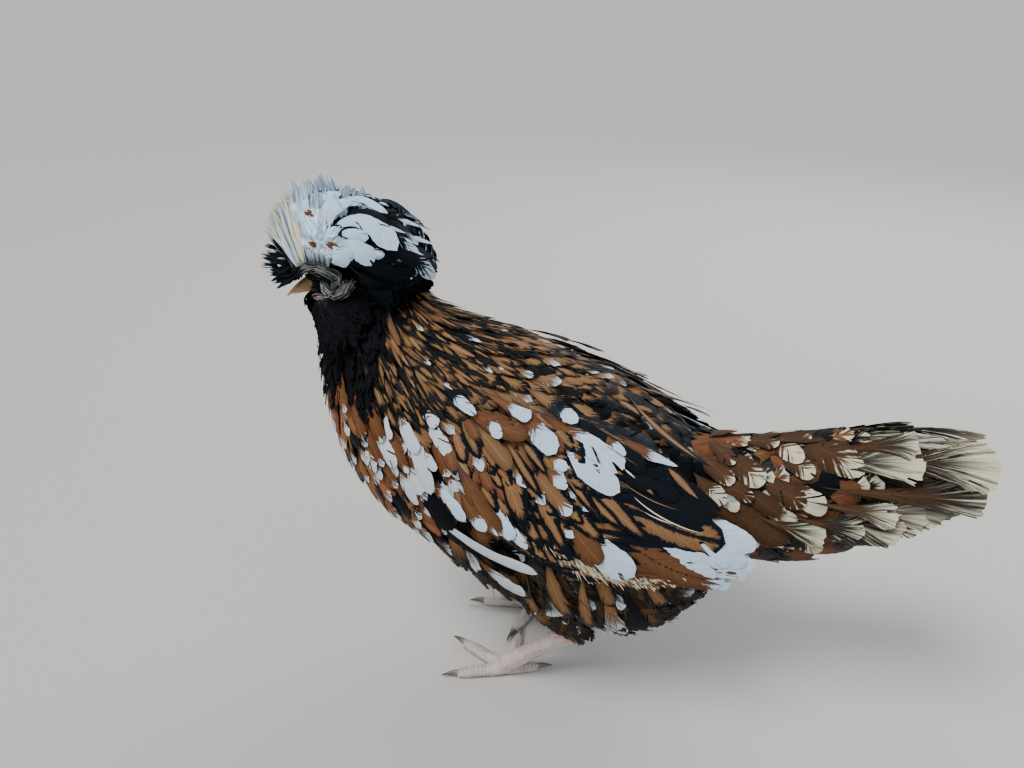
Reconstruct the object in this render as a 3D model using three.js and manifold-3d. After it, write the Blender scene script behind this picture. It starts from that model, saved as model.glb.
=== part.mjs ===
// A Polish crested hen, life size, standing with her back sloping down to the tail.
// Millimetres, +Z up. Her head is towards -X, her tail towards +X and her left side towards -Y.
// The body is one tube along a bent spine, parted into neck and torso. The wings lie on a second,
// wider tube. Feathers are thin blades that are fused to the piece they grow from.

import * as THREE from 'three';
import { mergeVertices } from 'three/addons/utils/BufferGeometryUtils.js';
import Module from 'manifold-3d';

const wasm = await Module();
wasm.setup();

// Driving sizes

const gap = 0.3; // between two pieces that touch
const vaneThickness = 0.7;
const degrees = Math.PI / 180;

// Spine stations from the nape to the rump: x, z, slope of the spine in degrees,
// then the radius towards the back, towards the belly and to each side.
const bodyStations = [
  [-98, 286, -78, 38, 25, 21],
  [-88, 256, -66, 53, 44, 39],
  [-68, 224, -54, 73, 64, 59],
  [-38, 196, -42, 84, 80, 73],
  [0, 171, -30, 90, 80, 79],
  [40, 152, -20, 94, 87, 80],
  [78, 142, -10, 88, 92, 76],
  [112, 140, -1, 76, 86, 65],
  [138, 148, 8, 56, 64, 48],
  [158, 160, 14, 32, 38, 29],
];
const neckEnd = 1.7; // station where the neck meets the torso
const rumpEnd = 9.4; // a little past the last station, where the torso closes

// The tube that carries the folded wings. It follows the torso and is wider over the rump.
const wingStations = [
  [-68, 224, -54, 75, 66, 61],
  [-38, 196, -42, 85, 82, 75],
  [0, 171, -30, 92, 82, 82],
  [40, 152, -20, 95, 89, 84],
  [78, 142, -10, 90, 94, 82],
  [112, 140, -1, 79, 88, 76],
  [145, 146, 6, 66, 72, 66],
  [180, 150, 8, 52, 62, 54],
  [210, 154, 8, 42, 52, 45],
];
const wingLower = [[-36, 182], [0, 160], [60, 150], [120, 147], [178, 144]]; // x and z of its lower edge
const wingUpper = [[-36, 222], [20, 234], [80, 226], [130, 205], [178, 150]];
const wing = {
  front: -36,
  core: 4, // depth of the core
  coreEnd: 64,
  // Tiers of feathers from the lower edge up: x and z of the roots and tips, and height over the tube
  tiers: [
    { count: 9, lowRoot: [46, 154], highRoot: [40, 218], lowTip: [178, 147], highTip: [128, 206],
      width: 8.2, lift: 2, tipLift: 2, outline: 'long' },
    { count: 7, lowRoot: [36, 158], highRoot: [28, 222], lowTip: [106, 152], highTip: [88, 218],
      width: 8.4, lift: 3.2, tipLift: 8 },
    { count: 6, lowRoot: [-2, 168], highRoot: [-6, 222], lowTip: [56, 155], highTip: [46, 226],
      width: 9, lift: 2.6, tipLift: 7.4 },
    { count: 5, lowRoot: [-28, 186], highRoot: [-30, 216], lowTip: [14, 164], highTip: [6, 226],
      width: 9, lift: 2.4, tipLift: 7 },
  ],
};

// Head
const skull = { x: -107, z: 297, length: 29, width: 16, height: 19 };
const headPitch = 18 * degrees; // the bill points this far below level
const bill = {
  base: 22, // forward of the middle of the skull, inside it
  mouth: -2.5, // height of the line of the mouth there
  droop: 3, // of that line at the tip of the upper half
  upper: { length: 26, width: 6.6, height: 9 },
  lower: { length: 21.5, width: 5.6, height: 5 },
};
const eye = { forward: 12, left: 9.4, up: 3.2, radius: 4.7 };
const crestCentre = new THREE.Vector3(-107, 0, 313);
const crest = {
  long: 63, // half its length, then half its width and its height over the centre
  wide: 46,
  high: 31,
  lean: 34, // how far the rings' middle leans forward, in degrees
  // Rings of feathers by how far their tips lie from that middle, in degrees
  rings: [
    { count: 3, polar: 12, width: 6, start: 0.5 },
    { count: 7, polar: 34, width: 7.5, start: 0 },
    { count: 9, polar: 57, width: 9.5, start: 0.5 },
    { count: 11, polar: 80, width: 10.5, start: 0 },
    { count: 12, polar: 103, width: 11.5, start: 0.5 },
    { count: 11, polar: 126, width: 11, start: 0 },
    { count: 9, polar: 149, width: 10, start: 0.5 },
  ],
  lowest: -0.54, // a feather that would point further down than this is left out
};
const beard = {
  // Rows of locks from the front: how far they turn to each side, z of the tips and how far they stand out
  rows: [
    { count: 4, turn: 54, drop: 256, reach: 18, width: 7 },
    { count: 4, turn: 84, drop: 246, reach: 15.5, width: 8 },
  ],
};
const muff = {
  // Fans of locks from the cheek: the way of the first and last, from straight back, up positive
  rows: [
    { count: 5, first: 16, last: -92, length: 30, out: 2, width: 7.4 },
    { count: 3, first: -2, last: -74, length: 22, out: 8, width: 8 },
  ],
};

// Tail
const tail = {
  pairs: 5,
  width: 13,
  topTilt: 34, // of a feather's face from straight up, in degrees
  lowTilt: 56,
  // Rings of coverts round the rump: x of the tips and how far they stand from the middle
  coverts: [
    { count: 9, start: 0, reach: 230, size: 37, width: 13, root: 160 },
    { count: 8, start: 20, reach: 198, size: 42, width: 14.5, root: 155 },
  ],
};

// Legs: the foot, hock and knee of each side, and the way the middle toe points from +X
const legs = [
  { side: 'left', y: -1, foot: [14, -39], hock: [66, -42, 58], heading: 155 },
  { side: 'right', y: 1, foot: [18, 37], hock: [68, 42, 58], heading: 190 },
];
// Toes of a left foot, by how far each turns from the middle toe
const toes = [
  { turn: 0, length: 43, radius: 4.6 },
  { turn: -66, length: 36, radius: 4.2 },
  { turn: 46, length: 37, radius: 4.2 },
  { turn: -132, length: 24, radius: 4 },
];
const toeHeight = 0.77; // of a toe's middle over the floor, as a share of its radius; its underside is cut flat
const clawLength = 11;

const colours = {
  body: 0x9a6a3a,
  hackle: 0x5a4326,
  face: 0x191716,
  crest: 0xe9e4d8,
  tail: 0x7a4a26,
  wing: 0x8a5428,
  fluff: 0x3a3430,
  bill: 0xc9a26a,
  eye: 0x8c2f12,
  leg: 0xc9b8b0,
  claw: 0x4c4640,
};

// Solids

const point = (x, y, z) => new THREE.Vector3(x, y, z);

function solidFrom(points, triangles) {
  const vertProperties = new Float32Array(points.length * 3);
  points.forEach((p, i) => p.toArray(vertProperties, 3 * i));
  const make = (tris) =>
    new wasm.Manifold(
      new wasm.Mesh({ numProp: 3, vertProperties, triVerts: new Uint32Array(tris.flat()) })
    );
  const made = make(triangles);
  return made.volume() > 0 ? made : make(triangles.map(([a, b, c]) => [a, c, b]));
}

// A closed tube: rings of points with a point at the middle of each end.
function tube(rings) {
  const sides = rings[0].length;
  const points = rings.flat();
  const triangles = [];
  for (let i = 0; i < rings.length - 1; i++) {
    for (let j = 0; j < sides; j++) {
      const a = i * sides + j;
      const b = i * sides + ((j + 1) % sides);
      triangles.push([a, b, b + sides], [a, b + sides, a + sides]);
    }
  }
  for (const [ring, first] of [[rings[0], 0], [rings.at(-1), (rings.length - 1) * sides]]) {
    const middle = points.push(ring.reduce((sum, p) => sum.add(p), new THREE.Vector3()).divideScalar(sides)) - 1;
    for (let j = 0; j < sides; j++) {
      const pair = [first + j, first + ((j + 1) % sides)];
      triangles.push(first === 0 ? [middle, pair[1], pair[0]] : [middle, ...pair]);
    }
  }
  return solidFrom(points, triangles);
}

// An egg-shaped solid: a sphere whose points are moved by place(x, y, z) with x, y and z from -1 to 1.
function egg(around, along, place) {
  const rings = [];
  for (let i = 1; i < along; i++) {
    const polar = (Math.PI * i) / along;
    const ring = [];
    for (let j = 0; j < around; j++) {
      const turn = (2 * Math.PI * j) / around;
      ring.push(place(Math.cos(polar), Math.sin(polar) * Math.cos(turn), Math.sin(polar) * Math.sin(turn)));
    }
    rings.push(ring);
  }
  return tube(rings);
}

// A closed ring: rings of points round a loop.
function hoop(rings) {
  const sides = rings[0].length;
  const triangles = [];
  rings.forEach((_, i) => {
    const next = ((i + 1) % rings.length) * sides;
    for (let j = 0; j < sides; j++) {
      const k = (j + 1) % sides;
      triangles.push([i * sides + j, i * sides + k, next + k], [i * sides + j, next + k, next + j]);
    }
  });
  return solidFrom(rings.flat(), triangles);
}

function fromGeometry(geometry) {
  const place = geometry.attributes.position;
  const points = Array.from({ length: place.count }, (_, i) => new THREE.Vector3().fromBufferAttribute(place, i));
  const triangles = Array.from({ length: geometry.index.count / 3 }, (_, i) =>
    [0, 1, 2].map((k) => geometry.index.getX(3 * i + k))
  );
  return solidFrom(points, triangles);
}

function largest(solid) {
  return solid.decompose().sort((a, b) => b.volume() - a.volume())[0];
}

function join(pieces) {
  return wasm.Manifold.union(pieces);
}

function cutBy(solid, others) {
  return others.reduce((left, other) => left.subtract(other), solid);
}

function mirrored(solid) {
  return solid.mirror([0, 1, 0]);
}

// Tubes along a spine

function spineOf(stations) {
  const spine = new THREE.CatmullRomCurve3(
    stations.map(([x, z, slope]) => new THREE.Vector3(x, slope, z)), false, 'catmullrom', 0.5
  );
  const radii = new THREE.CatmullRomCurve3(
    stations.map(([, , , back, belly, side]) => new THREE.Vector3(back, belly, side)), false, 'catmullrom', 0.5
  );
  return (station) => {
    const s = THREE.MathUtils.clamp(station / (stations.length - 1), 0, 1);
    const c = spine.getPoint(s);
    const r = radii.getPoint(s);
    return { c, slope: c.y * degrees, back: r.x, belly: r.y, side: r.z };
  };
}

// The point at a station number, an angle from the back round to her left, and a height over the tube.
function tubeThrough(stations) {
  const at = spineOf(stations);
  return (station, angle, lift = 0, shift = 0) => {
    const { c, slope, back, belly, side } = at(station);
    const up = Math.cos(angle) * ((Math.cos(angle) > 0 ? back : belly) + lift);
    return new THREE.Vector3(
      c.x - Math.sin(slope) * up + shift * Math.cos(slope),
      -Math.sin(angle) * (side + lift),
      c.z + Math.cos(slope) * up + shift * Math.sin(slope)
    );
  };
}

const onBody = tubeThrough(bodyStations);
const onWing = tubeThrough(wingStations);

function bodyRing(station, sides, lift, shift = 0) {
  return Array.from({ length: sides }, (_, j) => onBody(station, (2 * Math.PI * j) / sides, lift, shift));
}

function torsoForm(lift) {
  const sides = 26;
  const rings = [bodyRing(neckEnd, sides, lift, gap - lift)];
  for (let s = 2; s <= 9; s += 0.5) rings.push(bodyRing(s, sides, lift));
  const end = bodyRing(9, sides, lift);
  const tip = onBody(9, 0, 0).lerp(onBody(9, Math.PI, 0), 0.5);
  const beyond = new THREE.Vector3((rumpEnd - 9) * 30 + lift, 0, 3);
  rings.push(end.map((p) => p.lerp(tip, 0.45).add(beyond)));
  return tube(rings);
}

function neckForm(lift) {
  const sides = 20;
  const rings = [bodyRing(0, sides, lift - 9, -7 - lift), bodyRing(0, sides, lift - 3, -3 - lift)];
  for (let i = 0; i <= 5; i++) rings.push(bodyRing((neckEnd * i) / 5, sides, lift, i === 5 ? lift : 0));
  return tube(rings);
}

// Head pieces are placed by distance forward, to her left and up from the middle of the skull.
function atHead(forward, left, up) {
  return new THREE.Vector3(
    skull.x - Math.cos(headPitch) * forward + Math.sin(headPitch) * up,
    -left,
    skull.z - Math.sin(headPitch) * forward + Math.cos(headPitch) * up
  );
}

function headOval(lift) {
  return egg(16, 9, (x, y, z) => {
    const snout = Math.max(0, x);
    return atHead(
      x * (skull.length + lift),
      y * (skull.width + lift) * (1 - 0.28 * snout),
      z * (skull.height + lift) * (1 - 0.3 * snout) - 1.5 * snout
    );
  });
}

function ball(centre, radius, around = 10, along = 8) {
  return egg(around, along, (x, y, z) => new THREE.Vector3(z, y, x).multiplyScalar(radius).add(centre));
}

function eyeCentre(side) {
  return atHead(eye.forward, -side * eye.left, eye.up);
}

function lidSolid(side, lift) {
  const rings = [];
  for (let i = 0; i < 10; i++) {
    const turn = (2 * Math.PI * i) / 10;
    rings.push(
      Array.from({ length: 4 }, (_, j) => {
        const around = (Math.PI * j) / 2;
        const out = eye.radius + 0.9 + (1.1 + lift) * Math.cos(around);
        return atHead(
          eye.forward + out * 1.1 * Math.cos(turn),
          -side * (eye.left + eye.radius - 1.6 + (1.2 + lift) * Math.sin(around)),
          eye.up + out * 0.86 * Math.sin(turn)
        );
      })
    );
  }
  return hoop(rings);
}

function headForm(lift) {
  return join([headOval(lift), lidSolid(-1, lift), lidSolid(1, lift)]);
}

// One half of the bill, with its flat side on the line of the mouth.
function mandible(upper, lift) {
  const { length, width, height } = upper ? bill.upper : bill.lower;
  const sign = upper ? 1 : -1;
  const rings = [];
  for (let i = 0; i <= 5; i++) {
    const t = i / 5;
    const narrow = Math.sqrt(Math.max(0.012, 1 - t ** 1.7));
    const mouth = bill.mouth - bill.droop * ((t * length) / bill.upper.length) ** 2;
    rings.push(
      Array.from({ length: 10 }, (_, j) => {
        const turn = (2 * Math.PI * j) / 10;
        const rise = Math.max(0, Math.sin(turn)) * height * (1 - 0.25 * t) * narrow;
        return atHead(
          bill.base + t * (length + lift),
          Math.cos(turn) * (width * narrow + lift),
          mouth + sign * (gap / 2 + rise + (Math.sin(turn) > 0 ? lift : -lift))
        );
      })
    );
  }
  return tube(rings);
}

function billUpper() {
  const nostrils = [-1, 1].map((side) =>
    egg(6, 5, (x, y, z) =>
      atHead(bill.base + 7.5 + 2.4 * x, side * bill.upper.width * 0.86 + 1.6 * y, bill.mouth + 3.6 + 0.9 * z)
    )
  );
  return cutBy(mandible(true, 0), [headOval(gap), ...nostrils]);
}

// A closed slab between two grids of points.
function slab(outer, inner) {
  const rows = outer.length;
  const columns = outer[0].length;
  const points = [...outer.flat(), ...inner.flat()];
  const under = rows * columns;
  const triangles = [];
  for (let i = 0; i < rows - 1; i++) {
    for (let j = 0; j < columns - 1; j++) {
      const a = i * columns + j;
      const quad = [a, a + 1, a + columns + 1, a + columns];
      triangles.push([quad[0], quad[1], quad[2]], [quad[0], quad[2], quad[3]]);
      triangles.push([quad[2], quad[1], quad[0]].map((k) => k + under), [quad[3], quad[2], quad[0]].map((k) => k + under));
    }
  }
  const edge = [];
  for (let j = 0; j < columns - 1; j++) edge.push(j);
  for (let i = 0; i < rows - 1; i++) edge.push(i * columns + columns - 1);
  for (let j = columns - 1; j > 0; j--) edge.push((rows - 1) * columns + j);
  for (let i = rows - 1; i > 0; i--) edge.push(i * columns);
  edge.forEach((a, k) => {
    const b = edge[(k + 1) % edge.length];
    triangles.push([b, a, a + under], [b, a + under, b + under]);
  });
  return solidFrom(points, triangles);
}

function along(line, x) {
  const i = Math.max(1, line.findIndex(([end]) => end >= x));
  const [[x0, z0], [x1, z1]] = [line[i - 1], line[i]];
  return z0 + ((z1 - z0) * (x - x0)) / (x1 - x0);
}

// The station and angle of the point of a tube that is seen at x and z from her side.
function beside(stations, x, z) {
  const onTube = spineOf(stations);
  let [low, high] = [0, stations.length - 1];
  for (let i = 0; i < 30; i++) {
    const s = (low + high) / 2;
    const { c, slope } = onTube(s);
    if ((x - c.x) * Math.cos(slope) + (z - c.z) * Math.sin(slope) > 0) low = s;
    else high = s;
  }
  const { c, slope, back, belly } = onTube(low);
  const up = -(x - c.x) * Math.sin(slope) + (z - c.z) * Math.cos(slope);
  return [low, Math.acos(THREE.MathUtils.clamp(up / (up > 0 ? back : belly), -1, 1))];
}

function onWingAt(x, z, lift) {
  const [s, angle] = beside(wingStations, x, z);
  return onWing(s, angle, lift);
}

// Feathers

// A feather as a blade along a path. Both faces are split into triangles the same way.
function blade(path, faces, widths, thickness, lift) {
  const points = [];
  path.forEach((p, i) => {
    const way = path[Math.min(i + 1, path.length - 1)].clone().sub(path[Math.max(i - 1, 0)]).normalize();
    const across = new THREE.Vector3().crossVectors(faces[i], way).normalize();
    const out = new THREE.Vector3().crossVectors(way, across);
    const half = widths[i] + lift;
    const deep = (thickness * (i === path.length - 1 ? 0.6 : 1)) / 2 + lift;
    const shift = i === 0 ? -lift : i === path.length - 1 ? lift : 0;
    for (const [sideways, up] of [[1, 1], [-1, 1], [-1, -1], [1, -1]]) {
      points.push(
        p.clone().addScaledVector(across, sideways * half).addScaledVector(out, up * deep).addScaledVector(way, shift)
      );
    }
  });
  const triangles = [[0, 1, 2], [0, 2, 3]];
  for (let i = 0; i < path.length - 1; i++) {
    const [a, b, c, d] = [4 * i, 4 * i + 1, 4 * i + 2, 4 * i + 3];
    triangles.push([a, a + 4, b + 4], [a, b + 4, b]); // upper face, split from a to b + 4
    triangles.push([d, c + 4, d + 4], [d, c, c + 4]); // under face, split from d to c + 4
    triangles.push([b, b + 4, c + 4], [b, c + 4, c], [d, d + 4, a + 4], [d, a + 4, a]);
  }
  const e = 4 * (path.length - 1);
  triangles.push([e, e + 2, e + 1], [e, e + 3, e + 2]);
  return solidFrom(points, triangles);
}

const outlines = {
  round: [0.5, 1, 0.9, 0.34], // half widths from root to tip
  pointed: [0.5, 1, 0.75, 0.14],
  arched: [0.36, 0.62, 0.96, 0.94, 0.3],
  long: [0.6, 0.9, 1, 0.86, 0.34],
};

// A feather from root to tip through the pull of a third point, with its face turned to the vector out.
function feather({ root, pull, tip, out, width, outline = 'round', roll = 0, thickness = vaneThickness }, lift) {
  const curve = new THREE.QuadraticBezierCurve3(root, pull, tip);
  const shape = outlines[outline];
  const path = shape.map((_, i) => curve.getPoint(i / (shape.length - 1)));
  const faces = shape.map((_, i) => {
    const way = curve.getTangent(i / (shape.length - 1));
    return out.clone().addScaledVector(way, -out.dot(way)).normalize().applyAxisAngle(way, roll);
  });
  return blade(path, faces, shape.map((w) => w * width), thickness, lift);
}

function spread(first, last, count) {
  return Array.from({ length: count }, (_, i) => first + ((last - first) * i) / Math.max(1, count - 1));
}

function mulberry(seed) {
  let a = seed;
  return () => {
    a = (a + 0x6d2b79f5) | 0;
    let t = Math.imul(a ^ (a >>> 15), 1 | a);
    t = (t + Math.imul(t ^ (t >>> 7), 61 | t)) ^ t;
    return ((t ^ (t >>> 14)) >>> 0) / 4294967296;
  };
}

// The crest: rings of feathers round the knob of the skull. The front ones stand, the others fall back.
function crestWay(turn, polar) {
  const way = point(-Math.sin(polar) * Math.cos(turn), -Math.sin(polar) * Math.sin(turn), Math.cos(polar));
  return way.applyAxisAngle(point(0, 1, 0), -crest.lean * degrees);
}

function crestOutline({ x, y, z }, scale = 1) {
  const { long, wide, high } = crest;
  return point(x * long + 3 - 11 * z, y * wide, 9 - 5 * x - 8 * x ** 4 + z * high)
    .multiplyScalar(scale)
    .add(crestCentre);
}

function crestFeathers() {
  const random = mulberry(11);
  return crest.rings
    .flatMap(({ count, polar, width, start }) =>
      spread(0, 2 * Math.PI * (1 - 1 / count), count).map((even) => {
        const turn = even + (start + 0.14 * (random() - 0.5)) * ((2 * Math.PI) / count);
        const fore = Math.max(0, Math.cos(turn));
        const way = crestWay(turn + 0.06 * (random() - 0.5), (polar + 4 * (random() - 0.5)) * degrees);
        const first = crestWay(turn, polar * 0.55 * degrees);
        const [root, tip] = [crestOutline(first, 0.28), crestOutline(way, 0.92 + 0.14 * random())];
        const pull = crestOutline(crestWay(turn, polar * 0.72 * degrees), 0.84);
        const out = crestWay(turn, (polar - 90) * degrees);
        const roll = (17 + 40 * fore * (random() - 0.5)) * degrees;
        return { way, root, pull, tip, out, roll, width: width * (1 - 0.2 * fore), fore };
      })
    )
    .filter(({ way, fore }) => way.z > crest.lowest + 0.32 * fore + 0.12 * Math.abs(way.y))
    .map((f) => ({ ...f, outline: f.fore > 0.4 ? 'pointed' : 'arched' }));
}

function crestSolid(lift) {
  const core = egg(12, 7, (x, y, z) =>
    crestCentre.clone().add(point(-3 + x * (31 + lift), y * (22 + lift), 5 + z * (17 + lift)))
  );
  return join([core, ...crestFeathers().map((f) => feather(f, lift))]);
}

// The beard hangs from the chin and the muffs sweep back from the cheeks.
function beardSolid(lift) {
  const core = egg(10, 6, (x, y, z) => point(-121 + x * (9 + lift), y * (14 + lift), 270 + z * (11 + lift)));
  const locks = beard.rows.flatMap(({ count, turn, drop, reach, width }) =>
    spread(-turn, turn, count).map((degree) => {
      const side = Math.sin(degree * degrees);
      const ahead = Math.cos(degree * degrees);
      return {
        root: point(-120 - 3 * ahead, -9 * side, 274),
        pull: point(-120 - reach * ahead, -(reach + 8) * side, 273),
        tip: point(-117 - reach * ahead, -(reach + 11) * side, drop),
        out: point(-ahead, -side, 0.2),
        roll: 10 * degrees,
        width,
        outline: 'pointed',
      };
    })
  );
  return join([core, ...locks.map((f) => feather(f, lift))]);
}

function muffSolid(side, lift) {
  const cheek = (x, z, out) => point(x, side * (25 + 0.6 * Math.max(0, 288 - z) + out), z);
  const core = egg(10, 6, (x, y, z) =>
    point(-107 + x * (12 + lift), side * (22 - 5 * z + y * (7 + lift)), 281 + z * (10 + lift))
  );
  const locks = muff.rows.flatMap(({ count, first, last, length, out, width }) =>
    spread(first, last, count).map((degree) => {
      const [back, up] = [Math.cos(degree * degrees), Math.sin(degree * degrees)];
      return {
        root: cheek(-109 + 7 * back, 283 + 6 * up, -1.5),
        pull: cheek(-110 + 0.55 * length * back, 284 + 0.55 * length * up, out + 4),
        tip: cheek(-110 + length * back, 283 + length * up, out),
        out: point(0, side, 0.4),
        roll: side * 14 * degrees,
        width,
        outline: 'pointed',
      };
    })
  );
  return join([core, ...locks.map((f) => feather(f, lift))]);
}

// The wing: a core over the arm, and tiers of feathers that lie along the wing's own tube.
function wingFeather({ root, tip, width, lift, tipLift = lift, outline = 'round', roll = -11 }, side, more) {
  const shape = outlines[outline];
  const last = shape.length - 1;
  const path = shape.map((_, i) => {
    const t = i / last;
    const x = THREE.MathUtils.lerp(root[0], tip[0], t);
    const z = THREE.MathUtils.lerp(root[1], tip[1], t) + 3 * Math.sin(Math.PI * t);
    return { x, z, height: lift + (tipLift - lift) * Math.sin((Math.PI * t) / 2) };
  });
  const points = path.map(({ x, z, height }) => onWingAt(x, z, height));
  const faces = path.map(({ x, z, height }, i) => {
    const way = points[Math.min(i + 1, last)].clone().sub(points[Math.max(i - 1, 0)]).normalize();
    const above = onWingAt(x, z + 1, height).sub(onWingAt(x, z - 1, height));
    const out = new THREE.Vector3().crossVectors(way, above).normalize();
    if (out.y > 0) out.negate();
    return out.applyAxisAngle(way, roll * degrees);
  });
  const solid = blade(points, faces, shape.map((w) => w * width), vaneThickness, more);
  return side < 0 ? solid : mirrored(solid);
}

function wingTier({ count, lowRoot, highRoot, lowTip, highTip, width, lift, tipLift, outline }) {
  return spread(0, 1, count).map((t) => ({
    root: [THREE.MathUtils.lerp(lowRoot[0], highRoot[0], t), THREE.MathUtils.lerp(lowRoot[1], highRoot[1], t)],
    tip: [THREE.MathUtils.lerp(lowTip[0], highTip[0], t), THREE.MathUtils.lerp(lowTip[1], highTip[1], t)],
    width,
    lift,
    tipLift,
    outline,
  }));
}

function wingSolid(side, lift) {
  const [outer, inner] = [wing.core + lift, -6].map((height) =>
    Array.from({ length: 6 }, (_, i) => {
      const x = THREE.MathUtils.lerp(wing.front, wing.coreEnd, i / 5);
      return Array.from({ length: 5 }, (_, j) => {
        const z = along(wingLower, x) + 2 + ((along(wingUpper, x) - along(wingLower, x) - 4) * j) / 4;
        const p = onWingAt(x, z, height);
        return point(p.x, -side * p.y, p.z);
      });
    })
  );
  const feathers = wing.tiers.flatMap(wingTier).map((f) => wingFeather(f, side, lift));
  return cutBy(join([slab(outer, inner), ...feathers]), [torsoForm(gap)]);
}

// The tail: pairs of stiff feathers folded like a tent, and rings of coverts round their roots.
function tailSolid() {
  const core = egg(12, 8, (x, y, z) => point(163 + 36 * x, 30 * y, 163 + 33 * z + 5 * x));
  const pairs = spread(0, 1, tail.pairs).flatMap((t, k) =>
    [-1, 1].map((side) => {
      const tilt = THREE.MathUtils.lerp(tail.topTilt, tail.lowTilt, t) * degrees;
      const tip = point(
        THREE.MathUtils.lerp(309, 262, t ** 1.6),
        side * THREE.MathUtils.lerp(11.8, 38, t),
        THREE.MathUtils.lerp(216, 180, t)
      );
      const root = point(176, side * (10 + 9 * t), 185 - 25 * t);
      const pull = root.clone().lerp(tip, 0.5).add(point(0, side * (1 + 3 * t), THREE.MathUtils.lerp(24, 8, t)));
      return {
        root, pull, tip, width: tail.width, outline: 'long', thickness: 0.8,
        out: point(0, side * Math.sin(tilt), Math.cos(tilt)),
      };
    })
  );
  const coverts = tail.coverts.flatMap(({ count, start, reach, size, width, root }) =>
    spread(0, 360 - 360 / count, count).map((degree) => {
      const turn = (degree + start) * degrees;
      const [across, up] = [-Math.sin(turn), Math.cos(turn)];
      const below = Math.max(0, -up);
      const x = reach - 26 * below;
      return {
        root: point(root, 21 * across, 163 + 24 * up),
        pull: point(root + 14, (size + 1) * across, 166 + size * up),
        tip: point(x, size * across, 163 + 0.2 * (x - 160) + (size + 1 + 4 * below) * up),
        out: point(-0.1, across, up),
        roll: 13 * degrees,
        width,
      };
    })
  );
  return join([core, ...[...pairs, ...coverts].map((f) => feather(f, 0))]);
}

// Legs

// A tube from point to point, with scutes as raised plates on the side that faces front.
function scaledLimb(path, radii, front, scutes, sides, rise, lift) {
  const curve = new THREE.CatmullRomCurve3(path);
  const size = new THREE.CatmullRomCurve3(radii.map((r) => new THREE.Vector3(r, 0, 0)));
  const rings = [];
  const steps = scutes * 2;
  for (let i = 0; i <= steps; i++) {
    const t = (Math.floor(i / 2) + (i % 2) * 0.86) / scutes;
    const centre = curve.getPoint(Math.min(t, 1));
    const along = curve.getTangent(Math.min(t, 1));
    const across = new THREE.Vector3().crossVectors(along, front).normalize();
    const ahead = new THREE.Vector3().crossVectors(across, along).normalize();
    const r = size.getPoint(Math.min(t, 1)).x + lift;
    rings.push(
      Array.from({ length: sides }, (_, j) => {
        const turn = (2 * Math.PI * j) / sides;
        const plate = i % 2 === 1 && Math.cos(turn) > 0.1 ? rise : 0;
        return centre
          .clone()
          .addScaledVector(ahead, Math.cos(turn) * (r + plate))
          .addScaledVector(across, Math.sin(turn) * (r * 0.86 + plate * 0.5));
      })
    );
  }
  return tube(rings);
}

function shankForm({ y, foot, hock }, lift) {
  const low = point(foot[0] - 1, foot[1], 9);
  const high = point(hock[0], hock[1], hock[2]);
  const front = point(-1, 0, 0.9);
  const path = [low, low.clone().lerp(high, 0.33), low.clone().lerp(high, 0.66), high];
  return scaledLimb(path, [7.2, 6.2, 6.3, 8], front, 10, 8, 0.7, lift);
}

function thighForm({ y }, lift) {
  const path = [point(69, y * 42, 59), point(56, y * 44, 78), point(44, y * 45, 99), point(34, y * 44, 122)];
  const radii = [8, 15, 22, 24];
  const curve = new THREE.CatmullRomCurve3(path);
  const size = new THREE.CatmullRomCurve3(radii.map((r) => point(r, 0, 0)));
  const rings = [];
  for (let i = 0; i <= 5; i++) {
    const along = curve.getTangent(i / 5);
    const across = new THREE.Vector3().crossVectors(along, point(-1, 0, 1)).normalize();
    const ahead = new THREE.Vector3().crossVectors(across, along);
    const r = size.getPoint(i / 5).x + lift;
    const centre = curve.getPoint(i / 5).addScaledVector(along, (i === 0 ? -lift : 0) + (i === 5 ? lift : 0));
    rings.push(
      Array.from({ length: 12 }, (_, j) => {
        const turn = (Math.PI * j) / 6;
        return centre.clone().addScaledVector(ahead, r * Math.cos(turn)).addScaledVector(across, r * Math.sin(turn));
      })
    );
  }
  return tube(rings);
}

function toeParts(leg) {
  const base = point(leg.foot[0], leg.foot[1], 6.5);
  return toes.map(({ turn, length, radius }) => {
    const angle = (leg.heading - leg.y * turn) * degrees;
    const way = point(Math.cos(angle), Math.sin(angle), 0);
    const end = base.clone().addScaledVector(way, length).setZ(toeHeight * 0.72 * radius);
    return { base, way, end, length, radius };
  });
}

function footForm(leg) {
  const pieces = toeParts(leg).map(({ base, way, end, radius }) =>
    scaledLimb(
      [
        base,
        base.clone().lerp(end, 0.34).setZ(toeHeight * 1.1 * radius),
        base.clone().lerp(end, 0.67).setZ(toeHeight * radius),
        end,
      ],
      [radius * 1.35, radius * 1.1, radius, radius * 0.72],
      point(0, 0, 1), 4, 5, 0.5, 0
    )
  );
  const pad = egg(8, 5, (x, y, z) => point(leg.foot[0] - 1 + 9 * y, leg.foot[1] + 9 * z, 6.3 + 8 * x));
  return cutBy(join([pad, ...pieces]), [floorBlock(), shankForm(leg, gap)]);
}

function floorBlock() {
  const box = new THREE.BoxGeometry(400, 300, 40);
  box.translate(0, 0, -20);
  box.deleteAttribute('normal');
  box.deleteAttribute('uv');
  return fromGeometry(mergeVertices(box));
}

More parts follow.
